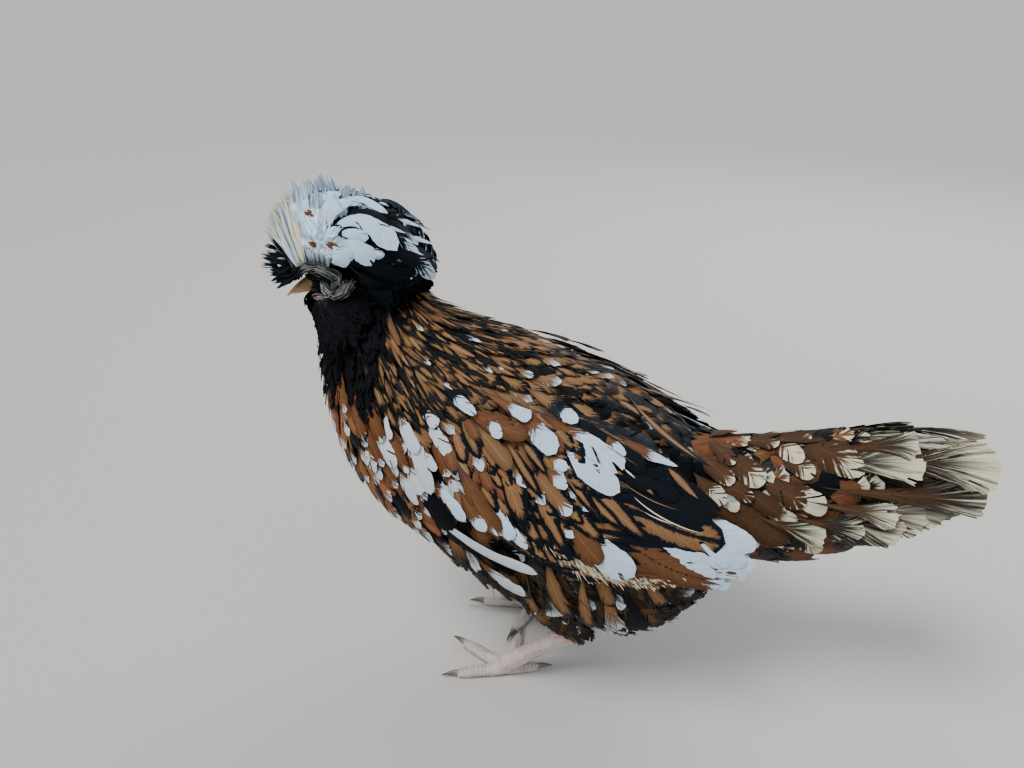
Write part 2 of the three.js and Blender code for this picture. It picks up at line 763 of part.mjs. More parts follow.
function clawForm({ way, end, radius }) {
  const rings = [];
  const size = radius * 0.6;
  for (let i = 0; i <= 3; i++) {
    const t = i / 3;
    const centre = end.clone().addScaledVector(way, gap + 0.6 + t * clawLength);
    centre.z += 1.6 + 1.2 * Math.sin(t * 2.4) - 2.2 * t;
    const r = size * (1 - 0.86 * t);
    const across = point(-way.y, way.x, 0);
    rings.push(
      Array.from({ length: 6 }, (_, j) => {
        const turn = (Math.PI * j) / 3;
        const p = centre.clone().addScaledVector(across, r * 0.8 * Math.cos(turn));
        return p.setZ(Math.max(0.25, p.z + r * Math.sin(turn)));
      })
    );
  }
  return tube(rings);
}

const group = new THREE.Group();

function addNode(name, solid, colour, roughness = 0.8) {
  const mesh = largest(solid).getMesh();
  const geometry = new THREE.BufferGeometry();
  geometry.setAttribute('position', new THREE.BufferAttribute(new Float32Array(mesh.vertProperties), 3));
  geometry.setIndex(new THREE.BufferAttribute(new Uint32Array(mesh.triVerts), 1));
  geometry.computeVertexNormals();
  const node = new THREE.Mesh(geometry, new THREE.MeshStandardMaterial({ color: colour, roughness, metalness: 0 }));
  node.name = name;
  group.add(node);
}

const neckTop = neckForm(gap);
const headAround = headForm(gap);
const eyesAround = [-1, 1].map((side) => ball(eyeCentre(side), eye.radius + gap));
const billAround = [mandible(true, gap), mandible(false, gap)];
const flesh = [headAround, neckTop, ...eyesAround, ...billAround];
const crestAround = crestSolid(gap);
const thighsAround = legs.map((leg) => thighForm(leg, 1.5 * gap));
const shanksAround = legs.map((leg) => shankForm(leg, gap));

addNode('torso', cutBy(torsoForm(0), [...thighsAround, ...shanksAround]), colours.body);
addNode('neck', cutBy(neckForm(0), [headAround]), colours.hackle);
addNode('head', cutBy(headForm(0), eyesAround), colours.face);
addNode('bill_upper', billUpper(), colours.bill, 0.45);
addNode('bill_lower', cutBy(mandible(false, 0), [headAround]), colours.bill, 0.45);
addNode('crest', cutBy(crestSolid(0), flesh), colours.crest);
addNode('beard', cutBy(beardSolid(0), [...flesh, crestAround]), colours.face);
addNode('tail', cutBy(tailSolid(), [torsoForm(gap)]), colours.tail);

const beardAround = beardSolid(gap);
for (const leg of legs) {
  const { side, y } = leg;
  addNode(`eye_${side}`, ball(eyeCentre(y), eye.radius), colours.eye, 0.15);
  addNode(`muff_${side}`, cutBy(muffSolid(y, 0), [...flesh, crestAround, beardAround]), colours.face);
  addNode(`wing_${side}`, wingSolid(y, 0), colours.wing);
  addNode(`thigh_${side}`, cutBy(thighForm(leg, 0), [shankForm(leg, gap)]), colours.fluff);
  addNode(`shank_${side}`, shankForm(leg, 0), colours.leg, 0.55);
  addNode(`foot_${side}`, footForm(leg), colours.leg, 0.55);
  toeParts(leg).forEach((toe, i) => addNode(`claw_${side}_${i + 1}`, clawForm(toe), colours.claw, 0.4));
}

// The origin is the middle of the floor under her.
const box = new THREE.Box3().setFromObject(group);
group.position.set(-(box.min.x + box.max.x) / 2, -(box.min.y + box.max.y) / 2, -box.min.z);

export default group;
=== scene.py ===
# A Polish crested hen in her feathers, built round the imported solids.
# Shapes are worked out in millimetres with the same numbers as the solids, then moved into the frame.

import bpy
import numpy as np
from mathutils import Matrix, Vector


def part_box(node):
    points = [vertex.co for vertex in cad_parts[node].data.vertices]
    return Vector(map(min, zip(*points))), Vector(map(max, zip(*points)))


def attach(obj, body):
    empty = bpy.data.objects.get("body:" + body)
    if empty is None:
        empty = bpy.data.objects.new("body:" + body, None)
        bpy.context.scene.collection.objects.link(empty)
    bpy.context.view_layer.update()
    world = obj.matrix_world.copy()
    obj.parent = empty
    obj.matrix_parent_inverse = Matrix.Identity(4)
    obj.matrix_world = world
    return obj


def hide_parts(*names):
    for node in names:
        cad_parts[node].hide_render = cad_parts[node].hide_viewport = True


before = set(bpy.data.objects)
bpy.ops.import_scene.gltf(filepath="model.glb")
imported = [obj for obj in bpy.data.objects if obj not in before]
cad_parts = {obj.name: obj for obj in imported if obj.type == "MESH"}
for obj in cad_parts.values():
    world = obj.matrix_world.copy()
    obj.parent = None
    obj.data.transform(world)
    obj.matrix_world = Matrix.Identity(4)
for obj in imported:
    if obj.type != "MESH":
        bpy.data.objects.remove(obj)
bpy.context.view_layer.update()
degree = np.pi / 180

# Spine stations from the nape to the rump: x, z, slope in degrees, radius to the back, belly and side
bodyStations = np.array([
    (-98, 286, -78, 38, 25, 21),
    (-88, 256, -66, 53, 44, 39),
    (-68, 224, -54, 73, 64, 59),
    (-38, 196, -42, 84, 80, 73),
    (0, 171, -30, 90, 80, 79),
    (40, 152, -20, 94, 87, 80),
    (78, 142, -10, 88, 92, 76),
    (112, 140, -1, 76, 86, 65),
    (138, 148, 8, 56, 64, 48),
    (158, 160, 14, 32, 38, 29),
], float)
wingStations = np.array([
    (-68, 224, -54, 75, 66, 61),
    (-38, 196, -42, 85, 82, 75),
    (0, 171, -30, 92, 82, 82),
    (40, 152, -20, 95, 89, 84),
    (78, 142, -10, 90, 94, 82),
    (112, 140, -1, 79, 88, 76),
    (145, 146, 6, 66, 72, 66),
    (180, 150, 8, 52, 62, 54),
    (210, 154, 8, 42, 52, 45),
], float)
tailStations = np.array([  # the tube on which the tail's coverts lie
    (130, 152, 4, 58, 64, 50),
    (158, 162, 10, 42, 48, 36),
    (190, 168, 16, 41, 48, 33),
    (220, 177, 20, 41, 44, 29),
    (250, 190, 22, 37, 36, 24),
    (280, 205, 24, 27, 24, 16),
], float)
skull = {"x": -107, "z": 297, "length": 29, "width": 16, "height": 19, "pitch": 18}
eyePlace = {"forward": 12, "out": 9.4, "up": 3.2, "radius": 4.7}


# Vectors divided by their lengths.
def unit(v):
    return v / np.maximum(np.linalg.norm(v, axis=-1, keepdims=True), 1e-9)


# Numbers or arrays side by side, as vectors.
def vec(*parts):
    return np.stack(np.broadcast_arrays(*parts), -1).astype(float)


# A point given by its distance forward, to her left and up from the middle of the skull.
def atHead(forward, left, up):
    tilt = skull["pitch"] * degree
    return vec(
        skull["x"] - np.cos(tilt) * forward + np.sin(tilt) * up,
        -np.asarray(left, float),
        skull["z"] - np.sin(tilt) * forward + np.cos(tilt) * up,
    )


eyeBox = [np.array(corner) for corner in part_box("eye_left")]
shift = (eyeBox[0] + eyeBox[1]) / 2 - atHead(eyePlace["forward"], eyePlace["out"], eyePlace["up"]) / 1000


# Millimetres to metres, moved so that the left eye meets the solid's.
def toFrame(points):
    return points / 1000 + shift


# The uniform Catmull-Rom curve through rows of numbers, at a place counted in rows; straight on past both
# ends.
def through(rows, s):
    n = len(rows)
    padded = np.vstack([2 * rows[0] - rows[1], rows, 2 * rows[-1] - rows[-2]])
    inside = np.clip(s, 0, n - 1 - 1e-6)
    k = np.floor(inside).astype(int)
    t = (inside - k)[..., None]
    p0, p1, p2, p3 = (padded[k + i] for i in range(4))
    value = 0.5 * (2 * p1 + (p2 - p0) * t + (2 * p0 - 5 * p1 + 4 * p2 - p3) * t ** 2
                   + (3 * p1 - p0 - 3 * p2 + p3) * t ** 3)
    onward = np.where((s > inside)[..., None], rows[-1] - rows[-2], rows[1] - rows[0])
    return value + (s - inside)[..., None] * onward


# A tube round a spine: at a station and an angle from the back to her left, the radius turns from the
# back's or belly's, across the spine, to the side's.
def tube(rows):
    def place(s, a, lift):
        s, a, lift = np.broadcast_arrays(np.asarray(s, float), a, lift)
        x, z, slope, back, belly, side = np.moveaxis(through(rows, s), -1, 0)
        up = np.cos(a) * (np.where(np.cos(a) > 0, back, belly) + lift)
        slope = slope * degree
        return vec(x - np.sin(slope) * up, -np.sin(a) * (side + lift), z + np.cos(slope) * up)

    return place


# The two directions along a surface and its outward normal, which is their cross product. Each direction
# is the difference of two places a small step apart.
def lie(surface, s, a, lift=0):
    step = 0.01
    along = surface(s + step, a, lift) - surface(s - step, a, lift)
    turning = surface(s, a + step, lift) - surface(s, a - step, lift)
    return along / (2 * step), turning / (2 * step), unit(np.cross(turning, along))


onBody = tube(bodyStations)
onWing = tube(wingStations)
onTail = tube(tailStations)


# Feathers. Each lies on a curve through three points, with a face direction at each of them.
# Half widths along the shaft, and how far forward the barbs reach as a share of the length.
shapes = {
    "round": {
        "at": [0, 0.12, 0.35, 0.6, 0.75, 0.86, 0.94, 0.98, 1],
        "half": [0.3, 0.62, 0.92, 1, 0.95, 0.8, 0.56, 0.34, 0],
        "reach": 0.2,
    },
    "pointed": {"at": [0, 0.15, 0.4, 0.62, 0.85, 0.95, 1], "half": [0.35, 0.75, 1, 0.88, 0.5, 0.24, 0],
                "reach": 0.24},
    "long": {
        "at": [0, 0.08, 0.25, 0.6, 0.84, 0.92, 0.97, 1],
        "half": [0.3, 0.55, 0.8, 0.97, 1, 0.86, 0.56, 0],
        "reach": 0.12,
    },
    "arched": {"at": [0, 0.2, 0.5, 0.75, 0.88, 0.96, 1], "half": [0.2, 0.42, 0.8, 1, 0.88, 0.52, 0],
               "reach": 0.18},
    "narrow": {"at": [0, 0.2, 0.5, 0.8, 0.93, 1], "half": [0.5, 0.9, 1, 0.62, 0.3, 0], "reach": 0.3},
    "fluff": {"at": [0, 0.15, 0.45, 0.8, 0.93, 1], "half": [0.5, 0.85, 1, 0.9, 0.6, 0], "reach": 0.35},
    "torn": {"at": [0, 0.15, 0.4, 0.65, 0.82, 0.94, 1], "half": [0.35, 0.65, 0.85, 0.98, 1, 0.74, 0],
             "reach": 0.16},
    "fan": {"at": [0, 0.1, 0.4, 0.7, 0.88, 0.96, 1], "half": [0.2, 0.4, 0.66, 0.92, 1, 0.7, 0],
            "reach": 0.2},
    "trail": {"at": [0, 0.15, 0.4, 0.65, 0.85, 0.95, 1], "half": [0.2, 0.45, 0.7, 0.95, 1, 0.75, 0],
              "reach": 0.46},
    "quill": {"at": [0, 0.08, 0.3, 0.7, 0.9, 0.97, 1], "half": [0.3, 0.5, 0.8, 1, 0.95, 0.6, 0],
              "reach": 0.26},
}


# Three points of a feather and its faces there, stacked: on a surface at three pairs of places, each at
# its lift.
def onSurface(surface, places, lifts):
    points = [surface(*place, lift) for place, lift in zip(places, lifts)]
    return {"points": np.stack(points, 1),
            "faces": np.stack([lie(surface, *place)[2] for place in places], 1),
            "root": vec(*places[0])}


# Walks from a root over a surface: each of six steps adds cos(heading) and sin(heading) times a sixth of
# the length to the way along and round. lifts holds the heights of the root, middle and tip over the
# surface.
def laid(surface, s, a, heading, length, lifts, steps=6):
    s, a, heading, length = (np.asarray(v, float) for v in np.broadcast_arrays(s, a, heading, length))
    trail = [(s, a)]
    for _ in range(steps):
        along, turning, _ = lie(surface, *trail[-1])
        ds = np.cos(heading) * length / steps / np.maximum(np.linalg.norm(along, axis=-1), 4)
        da = np.sin(heading) * length / steps / np.maximum(np.linalg.norm(turning, axis=-1), 4)
        trail.append((trail[-1][0] + ds, trail[-1][1] + da))
    return onSurface(surface, (trail[0], trail[steps // 2], trail[steps]), lifts)


# Heights for laid: a fixed one for the root, and for the middle a fixed one plus a share of the tip's.
def rising(tip, root, middle, share=0.5):
    return np.full(len(tip), float(root)), middle + share * tip, tip


# Three points on the quadratic curve from a root to a tip, drawn towards the place bow beside their
# middle: its middle is a quarter of the root, a quarter of the tip and half of that place.
def bent(root, tip, bow, face):
    middle = 0.25 * root + 0.5 * (0.5 * (root + tip) + bow) + 0.25 * tip
    faces = np.broadcast_to(unit(face)[:, None], (len(root), 3, 3))
    return {"points": np.stack([root, middle, tip], 1), "faces": faces, "root": root[:, :2]}


# The feathers that are kept, with all that belongs to them.
def chosen(feathers, keep):
    return {key: value[keep] for key, value in feathers.items()}


# The quads of copies of a grid of rows by columns of vertices; a closed grid joins its last column to its
# first.
def gridQuads(rows, columns, copies=1, closed=False):
    i, j = np.meshgrid(np.arange(rows - 1), np.arange(columns - (not closed)), indexing="ij")
    k = (j + 1) % columns
    quads = np.stack([i * columns + j, i * columns + k, (i + 1) * columns + k, (i + 1) * columns + j], -1)
    return quads.reshape(1, -1, 4) + (np.arange(copies) * rows * columns)[:, None, None]


# The vanes of a set of feathers. Rows run along the barbs, which leave the shaft at s and reach forward
# to the outline; a vertex at s and t across lies at u = s (1 - reach) + reach |t|^0.9 along the curve,
# and at t times the half width beside it. The curve is quadratic through the three points, and the faces
# are blended with its weights. A vane is cambered by -camber x^2 / half, rolled about its shaft, and
# parts of its rows are left out as splits.
def vanes(feathers, shape, rows, sides, seed, camber=0.25, fray=0.06, loose=0.05, split=0.0):
    random = np.random.default_rng(seed)
    form = shapes[shape]
    points, faces, half = feathers["points"], feathers["faces"], feathers["half"][:, None, None]
    n = len(half)
    s = (1 - (1 - np.linspace(0, 1, rows + 1)) ** 1.35)[None, :, None]
    t = np.linspace(-1, 1, 2 * sides + 1)[None, None, :]
    out = np.abs(t)
    side = (t > 0).astype(int)[0, 0]
    ragged = random.uniform(-1, 1, (n, rows + 1, 2))[:, :, side]
    phase = random.uniform(0, 6.3, (n, 1, 2))[:, :, side]
    wave = 1 + 0.07 * (np.sin(9 * s + phase) + 0.6 * np.sin(17 * s + 2 * phase))
    u = s * (1 - form["reach"]) + form["reach"] * out ** 0.9 + fray * 0.25 * ragged * out ** 2
    u = np.clip(u, 0, 1.06)
    x = t * np.interp(s, form["at"], form["half"]) * wave * half * (1 + fray * ragged * out)

    def weighted(weights, values):
        return sum(weight[..., None] * values[:, None, None, i] for i, weight in enumerate(weights))

    weights = [(1 - u) * (1 - 2 * u), 4 * u * (1 - u), u * (2 * u - 1)]
    way = unit(weighted([4 * u - 3, 4 - 8 * u, 4 * u - 1], points))
    across = unit(np.cross(weighted(weights, faces), way))
    up = np.cross(way, across)
    turn = feathers.get("roll", np.zeros(n))[:, None, None, None]
    across, up = across * np.cos(turn) + up * np.sin(turn), up * np.cos(turn) - across * np.sin(turn)
    puff = loose * half * random.uniform(-0.4, 1, u.shape) * out
    rise = (puff - camber * x ** 2 / half)[..., None]
    place = weighted(weights, points) + across * x[..., None] + up * rise

    inward = sides - 0.5 - np.abs(np.arange(2 * sides) - sides + 0.5)
    depth = np.where(random.random((n, rows, 2)) < split, random.uniform(0, sides - 0.5, (n, rows, 2)), -1)
    depth = np.repeat(depth, sides, 2) * (np.arange(rows) > 0.3 * rows)[None, :, None]
    torn = (inward[None, None] < depth).reshape(n, -1)
    length = np.linalg.norm(points[:, 1:] - points[:, :-1], axis=-1).sum(1)
    offset = random.uniform(0, 90, n)
    norm = x / half
    count = u[0].size
    return {
        "points": place.reshape(-1, 3),
        "faces": gridQuads(rows + 1, 2 * sides + 1, n)[~torn],
        "place": vec(norm, u, out).reshape(-1, 3),
        "barbs": vec(s * length[:, None, None] / 10 + offset[:, None, None], np.abs(x) / 10).reshape(-1, 2),
        "patch": vec(norm * 0.5, u - 0.5).reshape(n, -1, 2),
        "root": feathers["root"],
        "ground": np.repeat(np.column_stack([feathers["ground"], feathers["rag"]]), count, 0),
        "marks": np.repeat(feathers["marks"], count, 0),
    }


# Points and faces of several grids as one: the faces of each count on from the points before it.
def joined(grids):
    starts = np.cumsum([0] + [len(points) for points, _ in grids])
    faces = [quads + k for (_, quads), k in zip(grids, starts)]
    return np.vstack([points for points, _ in grids]), np.vstack(faces)


def meshFrom(name, points, faces):
    mesh = bpy.data.meshes.new(name)
    mesh.vertices.add(len(points))
    mesh.vertices.foreach_set("co", toFrame(points).astype(np.float32).ravel())
    mesh.loops.add(faces.size)
    mesh.loops.foreach_set("vertex_index", faces.astype(np.int32).ravel())
    mesh.polygons.add(len(faces))
    mesh.polygons.foreach_set("loop_start", np.arange(0, faces.size, faces.shape[1], dtype=np.int32))
    mesh.update(calc_edges=True)
    mesh.polygons.foreach_set("use_smooth", np.full(len(faces), True))
    return mesh


def paint(mesh, name, kind, field, rows):
    layer = mesh.attributes.new(name, kind, "POINT")
    layer.data.foreach_set(field, rows.astype(np.float32).ravel())


def put(name, mesh, material, nodes=()):
    piece = bpy.data.objects.new(name, mesh)
    bpy.context.scene.collection.objects.link(piece)
    mesh.materials.append(material)
    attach(piece, "root")
    if nodes:
        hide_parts(*nodes)


# Joins batches of vanes into one piece, with their marks as attributes. In the OFBake map each feather has
# a small patch of its own, at its root's share of the way between the lowest and the highest root.
def coatPiece(name, batches, material, nodes=(), patch=0.003):
    points, quads = joined([(batch["points"], batch["faces"]) for batch in batches])
    mesh = meshFrom(name, points, quads)
    root, place, ground, marks, barbs = (np.vstack([batch[key] for batch in batches])
                                         for key in ("root", "place", "ground", "marks", "barbs"))
    low, high = root.min(0), root.max(0)
    atlas = []
    for batch in batches:
        home = 0.01 + 0.98 * (batch["root"] - low) / np.maximum(high - low, 1e-6)
        atlas.append((home[:, None] + patch * batch["patch"]).reshape(-1, 2))
    for label, rows in (("OFBake", np.vstack(atlas)), ("barbs", barbs)):
        layer = mesh.uv_layers.new(name=label)
        layer.data.foreach_set("uv", rows[quads.ravel()].astype(np.float32).ravel())
    paint(mesh, "place", "FLOAT_VECTOR", "vector", place)
    paint(mesh, "ground", "FLOAT_COLOR", "color", ground)
    paint(mesh, "marks", "FLOAT_COLOR", "color", marks)
    print(name, len(quads) * 2, "triangles")
    put(name, mesh, material, nodes)


# Sets or links inputs of a shader node: a socket is linked, and any other value is set.
def feed(tree, node, inputs):
    for key, value in inputs.items():
        if isinstance(value, bpy.types.NodeSocket):
            tree.links.new(value, node.inputs[key])
        else:
            node.inputs[key].default_value = value


def add(tree, kind, inputs=None, **settings):
    made = tree.nodes.new(kind)
    for key, value in settings.items():
        setattr(made, key, value)
    feed(tree, made, inputs or {})
    return made


operations = {"+": "ADD", "-": "SUBTRACT", "*": "MULTIPLY", "max": "MAXIMUM", "abs": "ABSOLUTE"}


# A formula as nodes: an operation and its values, each of them a socket, a number or another formula.
def calc(tree, formula):
    if not isinstance(formula, tuple):
        return formula
    values = [calc(tree, value) for value in formula[1:]]
    return add(tree, "ShaderNodeMath", dict(enumerate(values)), operation=operations[formula[0]]).outputs[0]


def ramp(tree, value, low, high):
    limits = {"Value": value, "From Min": low, "From Max": high}
    return add(tree, "ShaderNodeMapRange", limits, interpolation_type="SMOOTHSTEP").outputs["Result"]


def mixed(tree, factor, first, second, mode="MIX"):
    made = add(tree, "ShaderNodeMix", data_type="RGBA", blend_type=mode)
    feed(tree, made, {0: factor, 6: first, 7: second})
    return made.outputs[2]


def noise(tree, spot, scale, detail):
    return add(tree, "ShaderNodeTexNoise", {"Vector": spot, "Scale": scale, "Detail": detail}).outputs[0]


# A colour times a shade of grey.
def shaded(tree, colour, shade):
    grey = add(tree, "ShaderNodeCombineColor", {0: shade, 1: shade, 2: shade}).outputs[0]
    return mixed(tree, 1.0, colour, grey, "MULTIPLY")


def bumped(tree, height, strength, distance=0.0005):
    return add(tree, "ShaderNodeBump",
               {"Strength": strength, "Distance": distance, "Height": height}).outputs[0]


# The pattern of one feather: ground colour, black end, black margin and black streak, then a white end.
# Each edge is a threshold on the place in the vane, moved by noise drawn out along the barbs.
def makeVaneGroup():
    group = bpy.data.node_groups.new("vane pattern", "ShaderNodeTree")
    sockets = {
        "INPUT": {"Ground": "Color", "Rag": "Float", "Marks": "Color", "Streak": "Float", "Place": "Vector",
                  "Barbs": "Vector", "Black": "Color", "White": "Color"},
        "OUTPUT": {"Colour": "Color", "Roughness": "Float", "Height": "Float"},
    }
    for way, kinds in sockets.items():
        for label, kind in kinds.items():
            group.interface.new_socket(label, in_out=way, socket_type="NodeSocket" + kind)
    start = add(group, "NodeGroupInput").outputs
    across, along, out = add(group, "ShaderNodeSeparateXYZ", {0: start["Place"]}).outputs
    ended, laced, tipped = add(group, "ShaderNodeSeparateColor", {0: start["Marks"]}).outputs
    barbs = add(group, "ShaderNodeSeparateXYZ", {0: start["Barbs"]}).outputs

    def drawn(wide, long, detail):
        sides = {0: calc(group, ("*", barbs[0], wide)), 1: calc(group, ("*", barbs[1], long))}
        spot = add(group, "ShaderNodeCombineXYZ", sides).outputs[0]
        return calc(group, ("-", noise(group, spot, 1.0, detail), 0.5))

    streak = drawn(11.0, 1.3, 3.0)
    hair = drawn(30.0, 1.0, 1.0)
    blot = drawn(3.0, 3.5, 1.0)
    lock = drawn(4.5, 0.6, 1.0)
    waves = ("+", ("+", ("*", streak, 0.6), ("*", lock, 0.8)), ("*", blot, 0.45))
    wave = calc(group, ("*", start["Rag"], waves))
    slack = calc(group, ("*", ("-", start["Rag"], 1.2), 0.32))
    onward = calc(group, ("+", along, ("*", wave, 0.6)))

    # A soft step at a mark: softer on ragged feathers, by 0.32 of what the rag has over 1.2.
    def beyond(value, mark, soft):
        soft = calc(group, ("max", ("+", slack, soft), soft))
        return ramp(group, value, calc(group, ("-", mark, soft)), calc(group, ("+", mark, soft)))

    end = beyond(onward, ended, 0.025)
    margin = beyond(calc(group, ("+", out, ("*", wave, 0.7))), laced, 0.07)
    middle = beyond(calc(group, ("+", ("abs", across), ("*", wave, 0.5))), start["Streak"], 0.06)
    dark = calc(group, ("max", ("max", end, margin), ("-", 1.0, middle)))
    pale = beyond(calc(group, ("-", onward, ("*", ("*", across, across), 0.06))), tipped, 0.03)
    glint = ramp(group, hair, 0.08, 0.2)
    tone = calc(group, ("+", ("+", 0.95, ("*", glint, 0.35)), ("+", ("*", streak, 0.9), ("*", blot, 0.5))))
    soft = calc(group, ("+", 0.95, ("+", ("*", streak, 0.6), ("*", hair, 0.5))))
    # Each feather darkens towards its outer edges: painted shade in the gaps between overlapping feathers.
    edgeShade = calc(group, ("-", 1.08, ("*", ("*", out, out), 0.45)))
    # Near the root the ground goes dark grey-brown: the downy base of the feather, darkened as painted
    # shade under the feathers that overlap it.
    down = calc(group, ("*", ramp(group, along, 0.3, 0.08), 0.75))
    base = mixed(group, down, shaded(group, shaded(group, start["Ground"], tone), edgeShade),
                 (0.03, 0.026, 0.023, 1))
    colour = mixed(group, dark, base, shaded(group, start["Black"], tone))
    colour = mixed(group, pale, colour, shaded(group, start["White"], soft))
    shaft = ramp(group, barbs[1], 0.04, 0.015)
    bright = calc(group, ("*", shaft, ("-", 0.45, ("*", pale, 0.38))))
    colour = mixed(group, bright, colour, mixed(group, 1.0, colour, colour, "ADD"))
    rough = calc(group, ("-", 0.66, ("*", ("*", dark, ("-", 1.0, pale)), 0.26)))
    height = calc(group, ("+", ("+", streak, ("*", hair, 0.5)), ("*", shaft, 0.5)))
    add(group, "NodeGroupOutput", {"Colour": colour, "Roughness": rough, "Height": height})
    return group


vaneGroup = makeVaneGroup()


def newMaterial(name):
    material = bpy.data.materials.new(name)
    material.use_nodes = True
    tree = material.node_tree
    tree.nodes.clear()
    shader = add(tree, "ShaderNodeBsdfPrincipled")
    add(tree, "ShaderNodeOutputMaterial", {"Surface": shader.outputs[0]})
    return material, tree, shader


def attribute(tree, name):
    return add(tree, "ShaderNodeAttribute", attribute_name=name).outputs


def featherMaterial(name, black, white, bump=0.35, gloss=0.2, sheen=(0.6, 0.8, 1.0)):
    material, tree, shader = newMaterial(name)
    ground, marks = attribute(tree, "ground"), attribute(tree, "marks")
    vane = add(tree, "ShaderNodeGroup", node_tree=vaneGroup)
    feed(tree, vane, {
        "Ground": ground["Color"], "Rag": ground["Alpha"], "Marks": marks["Color"],
        "Streak": marks["Alpha"],
        "Place": attribute(tree, "place")["Vector"],
        "Barbs": add(tree, "ShaderNodeUVMap", uv_map="barbs").outputs[0],
        "Black": (*black, 1), "White": (*white, 1),
    })
    feed(tree, shader, {
        "Base Color": vane.outputs["Colour"], "Roughness": vane.outputs["Roughness"],
        "Normal": bumped(tree, vane.outputs["Height"], bump), "Specular IOR Level": gloss,
        "Specular Tint": (*sheen, 1),
    })
    return material


palette = {
    "buff": (0.2, 0.105, 0.045),
    "tan": (0.21, 0.12, 0.058),
    "mahogany": (0.125, 0.052, 0.02),
    "brown": (0.062, 0.03, 0.0125),
    "black": (0.0022, 0.0026, 0.0042),
    "smoke": (0.032, 0.024, 0.019),
    # white and frost are tinted blue: painted cool skylight on white feathers.
    "white": (0.52, 0.69, 0.86),
    "cream": (0.6, 0.55, 0.41),
    "frost": (0.6, 0.71, 0.81),
    "ivory": (0.68, 0.65, 0.52),
    "grey": (0.26, 0.27, 0.28),
    "rose": (0.22, 0.17, 0.18),
}
palette = {key: np.array(value) for key, value in palette.items()}
none = 9.0  # a mark that never begins
noMarks = (none, none, none, -none)
blackEnd, margin, whiteEnd, streak = range(4)  # the columns of the marks


# A ground colour with a little scatter, and no marks, for each of n feathers.
def plain(n, colour, random, vary=0.12):
    tone = 1 + vary * random.uniform(-1, 1, (n, 1)) + 0.4 * vary * random.uniform(-1, 1, (n, 3))
    return np.clip(palette[colour] * tone, 0, 1), np.tile(noMarks, (n, 1))


# Lets a mark begin between low and high on the feathers that are picked.
def markSome(marks, column, picked, low, high, random):
    marks[picked, column] = random.uniform(low, high, picked.sum())


# Gives feathers their half widths, colours and marks. Rag is how ragged the edges of the marks are.
def dress(feathers, half, ground, marks, rag=1.0):
    return {**feathers, "half": half, "ground": ground, "marks": marks, "rag": np.full(len(half), rag)}


# Three places at the root, halfway and at the tip of a straight line of stations and angles, on one side
# of her.
def onLine(surface, s0, a0, s1, a1, side, lifts):
    places = [(s0 + (s1 - s0) * share, (a0 + (a1 - a0) * share) * degree * -side) for share in (0, 0.5, 1)]
    return onSurface(surface, places, lifts)


# Feathers placed one by one: station and angle of the root's and the tip's place, half width, shape and
# ground colour, and then where the white end, black end, black margin and black streak begin, as far as
# there are any. The roots reach 0.3 of the way further back, under the feathers before them. lifts(tip
# station, tip angle) gives the height of each tip; the middle is a quarter of deep lower and the root all
# of it.
def placed(surface, rows, side, lifts, seed, deep=6.0, rag=1.0):
    random = np.random.default_rng(seed + (side > 0))
    s0, a0, s1, a1, half = np.array([row[:5] for row in rows], float).T
    wander = 0.0 if side < 0 else 1.0
    s1 = s1 + wander * random.uniform(-0.08, 0.08, len(s1))
    a1 = a1 + wander * random.uniform(-2, 2, len(s1))
    s0, a0 = s0 - 0.3 * (s1 - s0), a0 - 0.3 * (a1 - a0)
    tip = lifts(s1, a1)
    lay = onLine(surface, s0, a0, s1, a1, side, (tip - deep, tip - 0.25 * deep, tip))
    ground = np.array([palette[row[6]] for row in rows]) * (1 + 0.1 * random.uniform(-1, 1, (len(rows), 1)))
    marks = np.array([(*row[7:], *noMarks[len(row) - 7:]) for row in rows])[:, [1, 2, 0, 3]]
    full = dress(lay, half, ground, marks, rag)
    batches = []
    for shape in sorted({row[5] for row in rows}):
        ones = chosen(full, np.array([row[5] == shape for row in rows]))
        batches.append(vanes(ones, shape, 20, 4, seed, camber=0.16, fray=0.03, loose=0.04, split=0.035))
    return batches


# Rows of roots over a surface, a spacing along apart and set alternately. A row has as many roots as its
# ring is long divided by the spacing across. Jitter moves each root by up to that share of the spacing.
def roots(surface, first, last, along, across, random, jitter=0.35):
    s = first
    found = []
    while s < last:
        ring = surface(s, np.linspace(-np.pi, np.pi, 73), 0)
        count = max(6, int(np.linalg.norm(np.diff(ring, axis=0), axis=1).sum() / across))
        angle = (np.arange(count) + 0.5 * (len(found) % 2)) * 2 * np.pi / count - np.pi
        pace = np.linalg.norm(lie(surface, np.array([s]), np.array([np.pi / 2]))[0])
        angle = angle + jitter * random.uniform(-1, 1, count) * 2 * np.pi / count
        found.append(vec(s + jitter * random.uniform(-1, 1, count) * along / pace, angle))
        s += along / pace
    s, a = np.vstack(found).T
    return s, (a + np.pi) % (2 * np.pi) - np.pi


# The White colours of body, crest and flight plumage are tinted blue: painted cool skylight on white
# feathers.
plumage = featherMaterial("body plumage", (0.0012, 0.0013, 0.0017), (0.56, 0.62, 0.66), 0.35, 0.09,
                          (0.9, 0.95, 1))
crestPlumage = featherMaterial("crest plumage", (0.0016, 0.0026, 0.006), (0.52, 0.68, 0.84), 0.3, 0.15)
flightPlumage = featherMaterial("wing and tail plumage", (0.0018, 0.0024, 0.0045), (0.52, 0.66, 0.8),
                                0.4, 0.16)
tailPlumage = featherMaterial("tail plumage", (0.005, 0.005, 0.004), (0.6, 0.55, 0.41), 0.4, 0.12)

neckCoat = {
    "hackle": {"along": 8, "across": 3.7, "length": (27, 37), "half": (2.2, 3.2)},
    "bib": {"along": 6, "across": 5, "length": (15, 24), "half": (2.2, 3.6)},
}


# Where the black bib ends and the hackle begins, in degrees round the neck: 46 + 30 s, and from s = 1.75
# on steeply more.
def bibEdge(s):
    return 46 + 30 * s + 500 * np.clip(s - 1.75, 0, 1)


